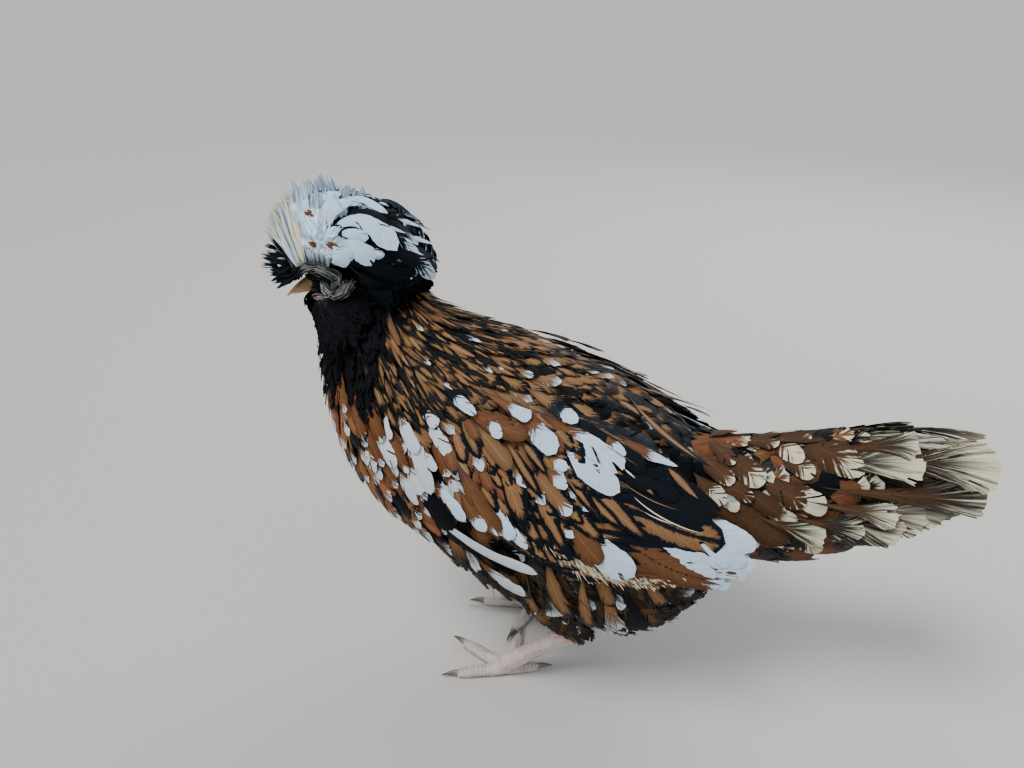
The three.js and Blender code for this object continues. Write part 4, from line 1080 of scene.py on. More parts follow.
# Single feathers of the crest: turn and polar angle of root, middle and tip, half width, ground, white end
crestRows = [
    (114, 66, 172, 52, 178, 76, 5.5, "white", 0),
    (114, 61, 144, 46, 178, 43, 5.4, "white", 0),
    (106, 76, 142, 73, 142, 102, 7.4, "white", 0),
    (104, 85, 120, 90, 114, 110, 6.2, "white", 0),
    (102, 84, 106, 91, 98, 106, 4.9, "white", 0),
    (120, 68, 156, 66, 172, 94, 6.0, "black", none),
    (132, 73, 162, 84, -174, 104, 3.6, "black", 0.84),
    (134, 74, 152, 88, 160, 112, 4.4, "black", 0.82),
    (126, 86, 144, 106, 176, 150, 5.6, "black", 0.84),
    (134, 80, 156, 104, -176, 145, 5.0, "black", 0.87),
    (138, 68, 166, 79, -168, 98, 3.6, "black", 0.9),
    (102, 97, 114, 112, 108, 162, 5.9, "black", none),
    (98, 108, 92, 130, 72, 154, 4.9, "black", none),
    (118, 60, 124, 44, 164, 22, 3.0, "white", 0),
    (110, 79, 134, 60, 164, 54, 4.6, "white", 0),
    (108, 78, 132, 56, 162, 46, 4.0, "white", 0),
    (122, 70, 146, 56, 172, 56, 4.6, "white", 0),
    (102, 86, 102, 94, 96, 104, 4.4, "white", 0),
    (110, 85, 110, 92, 108, 102, 4.0, "white", 0),
    (122, 76, 126, 79, 134, 88, 4.2, "white", 0),
]


# Brown spots and white tips of the crest, in millimetres on her right
crestSpots = [(-107, 43.5, 330), (-96, 42.5, 330), (-116, 30, 344)]
crestTips = [(-57, 14, 331), (-50, 15, 325), (-45, 15, 318), (-43, 13, 308), (-50, 5, 333), (-42, 5, 322)]


# The unit vector to a turn from the brow and a polar angle from the crest's axis, which leans forward.
def crestWay(turn, polar):
    lean = crestPlan["lean"] * degree
    x, y, z = -np.sin(polar) * np.cos(turn), -np.sin(polar) * np.sin(turn), np.cos(polar)
    return vec(x * np.cos(lean) - z * np.sin(lean), y, x * np.sin(lean) + z * np.cos(lean))


# The crest's outline: x long + 3 - 11 z back, y wide to each side, and 9 - 5 x - 8 x^4 + z high over the
# centre.
def crestOutline(way, scale):
    x, y, z = np.moveaxis(way, -1, 0)
    point = vec(x * crestPlan["long"] + 3 - 11 * z, y * crestPlan["wide"],
                9 - 5 * x - 8 * x ** 4 + z * crestPlan["high"])
    return point * np.asarray(scale)[..., None] + np.array(crestPlan["centre"])


# Where the crest is black: behind a turn of 128 degrees and below a polar angle of 50, below one of 103
# all round, and within 10 degrees of the middle line behind. Each feather's limits scatter by 5 degrees.
def crestDark(turn, polar, random):
    spread = random.normal(0, 5, len(turn))
    away, down = np.abs(turn) + spread, polar + spread
    return ((away > 128) & (down > 50)) | (down > 103) | (away > 170)


# An underlay in rings: each feather lies on one turn, from 0.4 of its polar angle to all of it, and in
# the rings above 125 degrees it lies deeper, by up to 0.16 of the outline.
def crestRings(random):
    turn, polar = [], []
    for count, angle in crestPlan["rings"]:
        turn.append((np.arange(count) + random.random()) * 2 * np.pi / count
                    + random.normal(0, 0.06, count))
        polar.append(angle * degree + random.normal(0, 0.05, count))
    turn, polar = np.concatenate(turn), np.concatenate(polar)
    turn = (turn + np.pi) % (2 * np.pi) - np.pi
    overFace = (polar > 100 * degree) & (np.abs(turn) < 112 * degree)
    keep = (crestWay(turn, polar)[:, 2] > crestPlan["lowest"]) & ~overFace & (np.abs(turn) > 95 * degree)
    turn, polar = turn[keep], polar[keep]
    n = len(turn)
    deep = 0.16 * np.clip((125 * degree - polar) / (18 * degree), 0, 1)
    tip = crestOutline(crestWay(turn, polar), 0.92 - deep + 0.05 * random.random(n))
    root = crestOutline(crestWay(turn, polar * 0.4), np.full(n, 0.4))
    pull = crestOutline(crestWay(turn, polar * 0.68), 0.96 - deep)
    lay = bent(root, tip, pull - 0.5 * (root + tip), tip)
    lay["faces"] = np.stack([crestWay(turn, polar * k) for k in (0.5, 0.75, 1.0)], 1)
    half = random.uniform(5.5, 8, n)
    ground, marks = plain(n, "white", random, 0.05)
    ground[crestDark(turn / degree, polar / degree, random)] = palette["black"]
    return vanes(dress(lay, half, ground, marks), "arched", 14, 3, 71, camber=0.3, fray=0.04, split=0.05)


# Feathers in the flow of the crest. Each follows a straight line of turn and polar angle from near the
# brow's corner at (96, 84) to its own place, and shows the last 26 to 42 mm of it: white before, black
# behind.
def crestFlow(side, random):
    n = 760
    turn, polar = random.uniform(88, 176, n), random.uniform(6, 150, n)
    keep = polar < np.interp(turn, [88, 100, 116, 132], [88, 98, 125, 150])
    keep = keep & (polar > np.interp(turn, [104, 116], [72, 6]))
    turn, polar = turn[keep], polar[keep]
    n = len(turn)
    begin = np.array([[96.0, 84.0]]) + random.normal(0, 5, (n, 2))
    end = vec(turn, polar)

    def along(share, scale):
        at = begin + (end - begin) * np.asarray(share)[..., None]
        toward = crestWay(at[:, 0] * degree * -side, at[:, 1] * degree)
        return crestOutline(toward, scale), toward

    trail = [along(share, 1)[0] for share in (0, 0.5, 1)]
    far = np.linalg.norm(trail[1] - trail[0], axis=1) + np.linalg.norm(trail[2] - trail[1], axis=1)
    dark = crestDark(turn, polar, random)
    first = np.clip(1 - random.uniform(26, 42, n) * np.where(dark, 0.75, 1) / far, 0, 0.9)
    lift = random.uniform(0.89, 0.94, n) - 0.02 * dark - 0.07 * np.clip(1 - polar / 45, 0, 1)
    points, faces = zip(along(first, 0.86 * lift), along(0.5 + 0.5 * first, lift), along(1, lift))
    lay = {"points": np.stack(points, 1), "faces": np.stack(faces, 1), "root": begin * degree,
           "roll": random.normal(0, 0.25, n)}
    ground, marks = plain(n, "white", random, 0.08)
    ground[random.random(n) < 0.3] = palette["frost"]
    ground[dark] = palette["black"]
    markSome(marks, whiteEnd, dark & (turn > 136) & (random.random(n) < 0.25), 0.72, 0.9, random)
    full = dress(lay, random.uniform(2.2, 4.0, n), ground, marks, 0.8)
    wide = random.random(n) < 0.5
    return [vanes(chosen(full, wide), "arched", 11, 2, 76, camber=0.3, split=0.06, fray=0.05),
            vanes(chosen(full, ~wide), "pointed", 11, 2, 77, camber=0.3, split=0.06)]


# The crest's feathers placed one by one, through three places on the outline, at 0.75 of its size at the
# root. The first rows lie on top, and her right side's and the topmost ones lie lower. Tips stay short of
# the middle line, and on her right only those that end below a polar angle of 66 are kept.
def crestHeroes(side):
    rows = np.array([[*row[:7], row[8]] for row in crestRows], float)
    turn = rows[:, 4].copy()
    rows[:, 4] = np.where((turn < 0) | (turn > 172), 172, turn)
    m = len(rows)
    ways = [crestWay(rows[:, 2 * i] * degree * side, rows[:, 2 * i + 1] * degree) for i in range(3)]
    sink, endSink = (0.06, 0.03) if side > 0 else (0.1, 0.1)
    high = np.linspace(0.05, 0, m) - sink * (rows[:, 2] > 150) - endSink * (rows[:, 4] > 168)
    high = high - 0.06 * (side < 0) - 0.05 * np.clip(1 - rows[:, 5] / 60, 0, 1)
    points = np.stack([crestOutline(way, lift + high) for way, lift in zip(ways, (0.75, 1.0, 1.0))], 1)
    lay = {"points": points, "faces": np.stack(ways, 1), "root": rows[:, :2] * degree}
    full = dress(lay, rows[:, 6], np.array([palette[row[7]] for row in crestRows]),
                 vec(none, none, rows[:, 7], -none))
    full = chosen(full, (side > 0) | (rows[:, 5] > 66))
    return vanes(full, "arched", 26, 5, 75, camber=0.25, fray=0.025, split=0.03)


# Small groups of feathers that end at given spots, each drawn from a spot back of it: brown marks among
# the white, and narrow white tips behind. On her right only the first two of each stand.
def crestSmall(side, spots, tips, random):
    spots = spots[:2] if side > 0 else spots
    n = len(spots) * tips
    end = np.repeat(np.array(spots, float), tips, 0) * np.array([1, side, 1])
    end = end + random.normal(0, 1.1 if tips > 1 else 0.3, end.shape)
    back = np.array([5, -2 * side, -5]) if tips > 1 else np.array([-34, 3 * side, 9])
    lay = bent(end + back, end, np.array([0, side * 2, 2]), np.repeat(np.array([[0.0, side, 0.5]]), n, 0))
    ground, marks = plain(n, "mahogany" if tips > 1 else "white", random, 0.2)
    if tips == 1:
        ground[:] = palette["black"]
        marks[:, whiteEnd] = random.uniform(0.6, 0.75, n)
    full = dress(lay, random.uniform(0.8, 1.2, n) * (0.9 if tips > 1 else 1.5), ground, marks, 0.7)
    return vanes(full, "pointed", 12, 2, 78, camber=0.3, fray=0.05)


# The whole crest: its rings, its flow, black feathers from the back of the head down to the nape, and the
# rest.
def crestFeathers():
    random = np.random.default_rng(70)
    batches = [crestRings(random)]
    for side in (1, -1):
        batches += crestFlow(side, random)
    n = 150
    across, down = random.uniform(-1, 1, n), random.random(n)
    root = vec(-90, 20 * across, 304 - 10 * down)
    tip = vec(-47 - 14 * across ** 2 - 4 * down, 31 * across, 301 - 17 * down)
    tip = tip + random.normal(0, 1.2, (n, 3))
    lay = bent(root, tip, vec(0, 3 * across, 3 - 6 * down), vec(0.5, across, 0.5 - 1.2 * down))
    ground, marks = plain(n, "black", random, 0.2)
    full = dress(lay, random.uniform(3, 5, n), ground, marks)
    batches.append(vanes(full, "arched", 11, 2, 79, camber=0.3, fray=0.08, loose=0.1, split=0.08))
    batches += [crestHeroes(side) for side in (1, -1)]
    for side in (-1, 1):
        batches += [crestSmall(side, crestSpots, 5, random), crestSmall(side, crestTips, 1, random)]
    return batches


# Locks of narrow feathers round a fan or a star: n feathers in so many locks, each lock at a share q of
# the way round the outline, and each feather across it from -1 to 1. The edge is the outline's place at
# q.
def lockPlan(outline, n, locks, scatter, random):
    lock = random.integers(0, locks, n)
    q = np.clip((lock + 0.5) / locks + random.normal(0, scatter, n), 0, 1)
    place, outX, outZ = np.array(crestPlan[outline], float).T
    return lock, q, vec(np.interp(q, place, outX), 0, np.interp(q, place, outZ))


# The fan stands up from the brow: the locks' lengths vary with cos(2.4 lock), and shrink by 0.34 (q -
# 0.45) towards the back. The star of dark pointed feathers stands over the bill, and short dark ones lie
# over the brow.
def fanFeathers():
    random = np.random.default_rng(170)
    n = 1000
    lock, q, edge = lockPlan("fan", n, 34, 0.01, random)
    across = random.uniform(-1, 1, n)
    across = np.sign(across) * np.abs(across) ** 0.6
    middle = vec(-137 + 24 * q, 0, 300 + 7 * q)
    root = middle + vec(0, 15 * across, -6 * np.abs(across) * q) + random.normal(0, 1.2, (n, 3))
    length = (0.93 + 0.2 * np.cos(lock * 2.4)) * (1 - 0.06 * across ** 2) * random.uniform(0.84, 1.03, n)
    length = length * (1 - 0.34 * np.clip(q - 0.45, 0, 1) - 0.1 * np.clip(across, 0, 1) * (q > 0.3))
    tip = middle + (edge - middle) * length[:, None] + vec(3 * across ** 2, (12 + 14 * q) * across, 0)
    bow = vec(1, (4 + 10 * q) * across, 2) + random.normal(0, 0.8, (n, 3))
    face = vec(-0.3 + 0.3 * q, np.sign(across), 0.15) + 0.18 * random.normal(0, 1, (n, 3))
    ground, marks = plain(n, "white", random, 0.06)
    ground[random.random(n) < 0.4] = palette["frost"]
    creamy = random.random(n) < 1.1 - 1.6 * q
    ground[creamy] = palette["ivory"] * random.uniform(1.0, 1.25, (n, 1))[creamy]
    dark = (random.random(n) < np.where(q < 0.25, 0.15, 0.03)) | np.isin(lock, (3, 7))
    ground[dark] = palette["black"]
    marks[dark, whiteEnd] = 0.7
    half = random.uniform(1.2, 2.6, n) * np.interp(q, [0, 0.5, 1], [0.8, 1.2, 1.8])
    full = dress(bent(root, tip, bow, face), half, ground, marks)
    batches = [vanes(full, "narrow", 12, 2, 72, camber=0.4, split=0.03, loose=0.06)]

    n = 260
    lock, q, edge = lockPlan("star", n, 11, 0.03, random)
    across = np.linspace(-1, 1, 11)[(lock * 4) % 11] * random.random(n)
    middle = vec(-137, 0, 298 - 2 * q)
    root = middle + vec(0, -13 * across, 0) + random.normal(0, 1.5, (n, 3))
    length = random.uniform(0.6, 1.15, n) * (1 - 0.2 * np.abs(across))
    tip = middle + (edge - middle) * length[:, None] + vec(9 * across ** 2, -22 * across, -2 * across ** 2)
    bow = vec(0, -4 * across, 3 - 2 * q) + random.normal(0, 1.0, (n, 3))
    face = vec(-0.6, -np.sign(across) * 0.7, 0.7 - 0.5 * q) + 0.4 * random.normal(0, 1, (n, 3))
    ground, marks = plain(n, "black", random, 0.2)
    markSome(marks, whiteEnd, random.random(n) < 0.25, 0.78, 0.9, random)
    ground[random.random(n) < 0.06] = palette["cream"]
    full = dress(bent(root, tip, bow, face), random.uniform(1.0, 2.0, n), ground, marks)
    batches.append(vanes(full, "narrow", 10, 2, 73, camber=0.4, fray=0.1, loose=0.1, split=0.04))

    n = 90
    for side in (-1, 1):
        q = random.random(n)
        root = vec(-133 + 26 * q, side * random.uniform(12, 16, n), 303 + 3 * q)
        tip = vec(-136 + 40 * q, side * random.uniform(17, 22, n), 299 - 4 * q)
        tip = tip + random.normal(0, 1.5, (n, 3))
        lay = bent(root, tip, vec(0, side * 5, 3), vec(0, side, 0.6) + 0.3 * random.normal(0, 1, (n, 3)))
        ground, marks = plain(n, "black", random, 0.2)
        full = dress(lay, random.uniform(1.4, 2.6, n), ground, marks)
        batches.append(vanes(full, "narrow", 8, 2, 74, camber=0.4, fray=0.12, loose=0.15, split=0.06))
    return batches


# Face: an egg round the skull, narrower and lower towards the bill
def onHead(s, a, lift):
    s, a, lift = np.broadcast_arrays(np.asarray(s, float), a, lift)
    x, y, z = -np.cos(s), np.sin(s) * np.sin(a), np.sin(s) * np.cos(a)
    snout = np.clip(-x, 0, 1)
    return atHead(
        -x * (skull["length"] + lift),
        y * (skull["width"] + lift) * (1 - 0.28 * snout),
        z * (skull["height"] + lift) * (1 - 0.3 * snout) - 1.5 * snout,
    )


# Middles of the two grey arcs beside the eye, in millimetres, on her right
greyArcs = [
    [(-130, 20, 301), (-123, 24, 305), (-115, 27, 307), (-107, 29, 306), (-100, 29, 303), (-102, 28, 298)],
    [(-113, 24, 298), (-110, 26, 292), (-104, 28, 290), (-97, 29, 293), (-92, 30, 299)],
]


# Short black feathers on the head, longer with their distance from the eyes, and none within 5.8 mm of
# them. Then fine grey ones that follow the two arcs, over the eye and behind it, and darken with their
# height off an arc.
def faceFeathers():
    random = np.random.default_rng(80)
    s, a = roots(onHead, 0.3, 2.4, 2.1, 2.1, random)
    spot = onHead(s, a, 0)
    eyes = [atHead(eyePlace["forward"], side * (eyePlace["out"] + 4), eyePlace["up"]) for side in (-1, 1)]
    away = np.minimum(*(np.linalg.norm(spot - eye, axis=-1) for eye in eyes))
    keep = away > 5.8
    s, a, away = s[keep], a[keep], away[keep]
    n = len(s)
    length = np.clip(4.5 + 5 * (s - 0.42) + 0.12 * away, 4.5, 12) * random.uniform(0.8, 1.2, n)
    half = random.uniform(1.0, 1.8, n) * (0.6 + 0.5 * np.clip(s - 0.4, 0, 1))
    tipLift = random.uniform(0.6, 2.5, n) * (0.5 + 0.7 * np.clip(s - 0.4, 0, 1))
    heading = np.sign(a) * 0.35 + random.normal(0, 0.3, n)
    lay = laid(onHead, s, a, heading, length, rising(tipLift, -1.2, 0))
    ground, marks = plain(n, "black", random, 0.3)
    ground[(random.random(n) < 0.1) & (away < 11)] = palette["grey"] * 0.7
    batches = [vanes(dress(lay, half, ground, marks), "narrow", 5, 1, 81, camber=0.4, fray=0.25, loose=0.3)]
    n = 300
    for side in (-1, 1):
        for arc, seed in zip(greyArcs, (82, 83)):
            line = np.array(arc, float)
            t = random.uniform(0, len(line) - 1.3, n)
            ends = t, np.clip(t + random.uniform(0.9, 1.6, n), 0, len(line) - 0.8), t + 0.6
            aside = random.normal(0, 1.7, (n, 3)) * np.array([1, 0.5, 1])
            root, tip, pull = (through(line, end) * np.array([1, side, 1]) + aside for end in ends)
            tip = tip + random.normal(0, 0.45, (n, 3))
            out = unit(np.array([[0, side, 0.5]])) + 0.4 * random.normal(0, 1, (n, 3))
            lay = bent(root, tip, 2 * pull - root - tip, out)
            ground, marks = plain(n, "grey", random, 0.2)
            ground = ground * random.uniform(0.35, 1.35, (n, 1)) * np.exp(-(aside[:, 2:] / 3.0) ** 2)
            ground[random.random(n) < 0.12] = palette["black"]
            full = dress(lay, random.uniform(0.2, 0.5, n), ground, marks)
            batches.append(vanes(full, "narrow", 7, 1, seed, camber=0.3, fray=0.1, loose=0.1))
    return batches


# How far out the beard and muffs may reach at a place: 40 + 1.75 (x + 105) mm, less below z = 284.
def jaw(x, z):
    return np.clip(40 + 1.75 * (x + 105) + np.clip(z - 262, 0, 22), 2, 60)


# The beard hangs from the chin, in an arc of turns and in levels from the mouth down, with thin pinkish
# wisps at the corners of the mouth. The muffs sweep back and down from the cheeks, in headings from -112
# to 24 degrees; a cheek lies 19 mm out and 0.72 mm further for each one down from z = 290, within the
# jaw.
def beardFeathers():
    random = np.random.default_rng(90)
    n = 420
    turn = random.uniform(-115, 115, n) * degree
    level = random.random(n)
    aside, ahead = np.sin(turn), np.cos(turn)
    root = vec(-119 - 8 * ahead * (1 - level) + 2 * level, -(8 + 5 * level) * aside, 282 - 12 * level)
    reach = random.uniform(15, 22, n) * (1 - 0.35 * level)
    tip = vec(-119 - reach * ahead, -(reach + 8) * aside, 272 - 15 * level - random.uniform(0, 5, n))
    tip[:, 1] = np.clip(tip[:, 1], -jaw(tip[:, 0], tip[:, 2]), jaw(tip[:, 0], tip[:, 2]))
    pull = vec(-121 - (reach + 1) * ahead, 0.9 * tip[:, 1], root[:, 2] + 1)
    lay = bent(root, tip, pull - 0.5 * (root + tip), vec(-ahead, -aside, 0.3))
    ground, marks = plain(n, "black", random, 0.3)
    full = dress(lay, random.uniform(1.6, 3.0, n), ground, marks)
    batches = [vanes(full, "narrow", 8, 2, 91, camber=0.4, fray=0.25, loose=0.35, split=0.12)]
    n = 22
    for side in (-1, 1):
        root = vec(random.uniform(-127, -120, n), side * random.uniform(14, 18, n),
                   random.uniform(279, 284, n))
        tip = root + vec(random.uniform(6, 13, n), side * random.uniform(4, 8, n), random.uniform(0, 5, n))
        lay = bent(root, tip, vec(0, side * 2, 2), vec(0, side, 0.3)[None])
        ground, marks = plain(n, "rose", random, 0.3)
        full = dress(lay, random.uniform(0.2, 0.5, n), ground, marks)
        batches.append(vanes(full, "narrow", 6, 1, 94, camber=0.3, fray=0.1, loose=0.1))
    n = 460
    for side in (-1, 1):
        way = random.uniform(-112, 24, n) * degree
        back, up = np.cos(way), np.sin(way)
        layer = random.random(n)
        length = random.uniform(18, 31, n) * (1 - 0.25 * layer)
        x0 = -112 + 14 * layer * back + random.normal(0, 3, n)
        z0 = 285 + 8 * layer * up + random.normal(0, 2.5, n)

        def cheek(share, out):
            x, z = x0 + share * length * back, z0 + share * length * up
            return vec(x, side * (np.minimum(19 + 0.72 * np.clip(290 - z, 0, 60), jaw(x, z)) + out), z)

        root, tip = cheek(0, -2), cheek(1, 2 + 4 * random.random(n))
        pull = cheek(0.55, 5 + 3 * random.random(n))
        lay = bent(root, tip, pull - 0.5 * (root + tip), vec(0, side, 0.4)[None])
        ground, marks = plain(n, "black", random, 0.3)
        full = dress(lay, random.uniform(1.8, 3.4, n), ground, marks)
        batches.append(vanes(full, "narrow", 9, 2, 92 + side, camber=0.4, fray=0.25, loose=0.35,
                             split=0.12))
    return batches


print("feathers")
coatPiece("neckFeathers", neckFeathers(), plumage)
coatPiece("bodyFeathers", bodyFeathers(), plumage)
coatPiece("bellyFluff", fluffFeathers() + thighFeathers(-1) + thighFeathers(1), plumage)
coatPiece("wingLeft", wingFeathers(-1), flightPlumage, ("wing_left",))
coatPiece("wingRight", wingFeathers(1), flightPlumage, ("wing_right",))
coatPiece("tailFeathers", tailFeathers(), tailPlumage, ("tail",))
coatPiece("crestFeathers", crestFeathers(), crestPlumage, ("crest",))
coatPiece("crestFan", fanFeathers(), crestPlumage)
coatPiece("beardAndMuffs", beardFeathers(), plumage, ("beard", "muff_left", "muff_right"))
coatPiece("faceFeathers", faceFeathers(), plumage)


# Skin: closed tubes of body, head, thighs, shanks and toes, made one by a voxel remesh.
legs = {
    -1: {"foot": (14, -39), "hock": (66, -42, 58), "heading": 155},
    1: {"foot": (18, 37), "hock": (68, 42, 58), "heading": 190},
}
# turn, length, radius of a left foot's toes
toePlan = [(0, 43, 4.6), (-66, 36, 4.2), (46, 37, 4.2), (-132, 24, 4.0)]
skinPlan = {"depth": 7.5, "voxel": 1.7}


# A closed grid: rings round a loop with a point in the middle of each end. Each quad of the sheet is cut
# in two.
def closedTube(surface, places, around, lift=0.0):
    a = np.linspace(-np.pi, np.pi, around, endpoint=False)
    lift = np.broadcast_to(lift, len(places)).astype(float)
    ring = surface(np.asarray(places, float)[:, None], a[None], lift[:, None])
    points = np.vstack([ring.reshape(-1, 3), ring[0].mean(0)[None], ring[-1].mean(0)[None]])
    first = ring.shape[0] * around
    end = first - around
    j = np.arange(around)
    k = (j + 1) % around
    sheet = gridQuads(ring.shape[0], around, closed=True)[0][:, [0, 3, 2, 1]]
    starts = np.stack([k, np.full(around, first), j], 1)
    ends = np.stack([end + j, np.full(around, first + 1), end + k], 1)
    return points, np.vstack([sheet[:, [0, 1, 2]], sheet[:, [0, 2, 3]], starts, ends])


# The shank is a straight tube from the foot to the hock.
def shankRows(side):
    foot, hock = legs[side]["foot"], np.array(legs[side]["hock"], float)
    low = np.array([foot[0] - 1, foot[1], 9.0])
    return np.column_stack([[low + (hock - low) * t for t in (0, 0.33, 0.66, 1)], [7.0, 6.1, 6.3, 8]])


# The shank's surface, a little narrower than it is deep.
def shank(side):
    return roundTube(shankRows(side), (-1, 0, 0.9), 0.88)


# The direction of a toe on the floor.
def toeWay(side, turn):
    angle = (legs[side]["heading"] - side * turn) * degree
    return np.array([np.cos(angle), np.sin(angle), 0])


# A toe runs level from the foot in thirds of its length, at 0.86 of its radius over the floor.
def toeRows(side):
    made = []
    for turn, length, radius in toePlan:
        base = np.array([*legs[side]["foot"], 6.5])
        spots = np.array([base + toeWay(side, turn) * length * share for share in (0, 0.34, 0.67, 1)])
        radii = np.array([1.3, 1.08, 1.0, 0.74]) * radius
        spots[1:, 2] = radii[1:] * 0.86
        made.append(np.column_stack([spots, radii]))
    return made


# All the flesh as closed tubes, sunk below the coat by up to 7.5 mm, and made one by a voxel remesh. The
# toes swell by 0.35 mm times the sine of three half turns along their length, as pads.
def makeSkin():
    parts = [
        closedTube(onBody, np.linspace(-0.15, 9.2, 70), 64, np.linspace(-3, -skinPlan["depth"], 70)),
        closedTube(onHead, np.linspace(0.06, np.pi - 0.06, 40), 44),
        closedTube(onTail, np.linspace(0.2, 2.0, 16), 32, -np.linspace(14, 30, 16)),
    ]
    pads = 0.35 * np.sin(np.linspace(0, 9.42, 30)) - 0.1
    for side in (-1, 1):
        parts.append(closedTube(roundTube(thighRows[side]), np.linspace(0, 3, 24), 24,
                                np.linspace(-1, -6, 24)))
        parts.append(closedTube(shank(side), np.linspace(0, 3.1, 30), 20))
        for rows in toeRows(side):
            parts.append(closedTube(roundTube(rows, (0, 0, 1)), np.linspace(0, 3, 30), 18, pads))
    rough = bpy.data.objects.new("skinForm", meshFrom("skinForm", *joined(parts)))
    bpy.context.scene.collection.objects.link(rough)
    remesh = rough.modifiers.new("one skin", "REMESH")
    remesh.mode = "VOXEL"
    remesh.voxel_size = skinPlan["voxel"] / 1000
    remesh.use_smooth_shade = True
    bpy.context.view_layer.update()
    made = bpy.data.meshes.new_from_object(rough.evaluated_get(bpy.context.evaluated_depsgraph_get()))
    bpy.data.objects.remove(rough)
    return made


# Tones of the skin by region, with the share of black marks as a fourth number
skinTones = {
    "legs": (0.5, 0.42, 0.39, 0), "hock": (0.5, 0.3, 0.26, 0.1), "face": (0.02, 0.013, 0.013, 0.5),
    "bib": (0.006, 0.006, 0.008, 1), "hackle": (0.2, 0.11, 0.05, 0.6), "back": (0.2, 0.115, 0.055, 0.55),
    "breast": (0.12, 0.05, 0.02, 0.35), "belly": (0.03, 0.026, 0.024, 0.5),
    "tail": (0.09, 0.045, 0.02, 0.35),
}


# The region of each skin vertex. The station on the spine follows x, and the angle is taken round the
# spine there.
def skinRegions(co):
    x, y, z = co.T
    s = np.interp(x, bodyStations[:, 0], np.arange(len(bodyStations)))
    here = through(bodyStations, s)
    slope = here[:, 2] * degree
    up = -np.sin(slope) * (x - here[:, 0]) + np.cos(slope) * (z - here[:, 1])
    around = np.abs(np.arctan2(y, up)) / degree
    head = (z > 279) | ((x < -112) & (z > 262))
    rules = [
        ("legs", z < 50), ("hock", z < 63), ("face", head & (x < -100)), ("bib", head), ("tail", x > 150),
        ("bib", (s < 1.9) & (around > bibEdge(s))), ("hackle", s < 2.3),
        ("belly", (around > 105) & (s > 3.7)),
        ("breast", around > 76),
    ]
    return np.select([rule[:, None] for _, rule in rules], [np.array(skinTones[name]) for name, _ in rules],
                     np.array(skinTones["back"]))


# Skin takes its colour from its tones, with black where a noise is over 0.85 - 0.7 times the share of
# black marks.
def skinMaterial():
    material, tree, shader = newMaterial("skin")
    coords = add(tree, "ShaderNodeTexCoord").outputs["Object"]
    tone = attribute(tree, "tone")
    spot = {"Vector": coords, "Scale": 420.0}
    cells = add(tree, "ShaderNodeTexVoronoi", spot, feature="DISTANCE_TO_EDGE").outputs[0]
    edge = calc(tree, ("-", 0.85, ("*", tone["Alpha"], 0.7)))
    dark = ramp(tree, noise(tree, coords, 60.0, 2.0), edge, calc(tree, ("+", edge, 0.04)))
    shade = calc(tree, ("+", 0.75, ("*", noise(tree, coords, 90.0, 4.0), 0.5)))
    feed(tree, shader, {
        "Base Color": mixed(tree, dark, shaded(tree, tone["Color"], shade), (0.006, 0.006, 0.008, 1)),
        "Normal": bumped(tree, ramp(tree, cells, 0.0, 0.25), 0.4), "Roughness": 0.55,
    })
    return material


# Gives a mesh its tones: one for all of it, or one for each vertex.
def tint(mesh, rows):
    paint(mesh, "tone", "FLOAT_COLOR", "color", np.broadcast_to(rows, (len(mesh.vertices), 4)))


skin = makeSkin()
co = np.zeros(len(skin.vertices) * 3, np.float32)
skin.vertices.foreach_get("co", co)
co = (co.reshape(-1, 3) - shift) * 1000
tint(skin, skinRegions(co))
co[:, 2] = np.maximum(co[:, 2], 0)
skin.vertices.foreach_set("co", toFrame(co).astype(np.float32).ravel())
print("skin", sum(len(p.vertices) - 2 for p in skin.polygons), "triangles")
bare = ["torso", "neck", "head"] + [f"{part}_{side}" for part in ("thigh", "shank", "foot")
                                    for side in ("left", "right")]
put("skin", skin, skinMaterial(), bare)


# Scutes: plates at stations of a leg or toe, all at one angle. Each is a small grid of u and v from -1 to
# 1, and bulges off the leg by (rise + 0.5) ((1 - u^4) (1 - v^4))^0.4 - 0.5, tilted by 0.25 u.
def plates(surface, s, angle, long, wide, rise, rows=5, columns=6):
    u = np.linspace(-1, 1, rows)[None, :, None]
    v = np.linspace(-1, 1, columns)[None, None, :]
    lift = -0.5 + (rise + 0.5) * ((1 - np.abs(u) ** 4) * (1 - np.abs(v) ** 4)) ** 0.4 + 0.25 * u
    points = surface(s[:, None, None] + u * long * (1 - 0.12 * v ** 2),
                     angle + v * wide * (1 - 0.1 * u ** 2), lift)
    return points.reshape(-1, 3), gridQuads(rows, columns, len(s)).reshape(-1, 4)


# Rows of scutes round a shank: angle, count, half width in radians, and how far the row is shifted up
shankScutes = [(-0.42, 17, 0.42, 0), (0.42, 17, 0.42, 0.09), (-1.35, 24, 0.36, 0), (1.35, 24, 0.36, 0.05),
               (2.3, 26, 0.4, 0), (-2.3, 26, 0.4, 0.05)]


# Scutes of both shanks, and one row over and one on each side of every toe, a plate for each 3 mm.
def legScales():
    parts = []
    for side in (-1, 1):
        for angle, count, wide, offset in shankScutes:
            s = np.linspace(0.1, 2.95, count) + offset
            parts.append(plates(shank(side), s, angle, 1.36 / count, wide, 0.45))
        for rows, (_, length, _) in zip(toeRows(side), toePlan):
            toe = roundTube(rows, (0, 0, 1))
            count = int(length / 3)
            parts.append(plates(toe, np.linspace(0.4, 2.9, count), 0, 1.22 / count, 0.85, 0.5))
            for angle in (-1.5, 1.5):
                parts.append(plates(toe, np.linspace(0.5, 2.85, count), angle, 1.15 / count, 0.45, 0.3))
    return joined(parts)


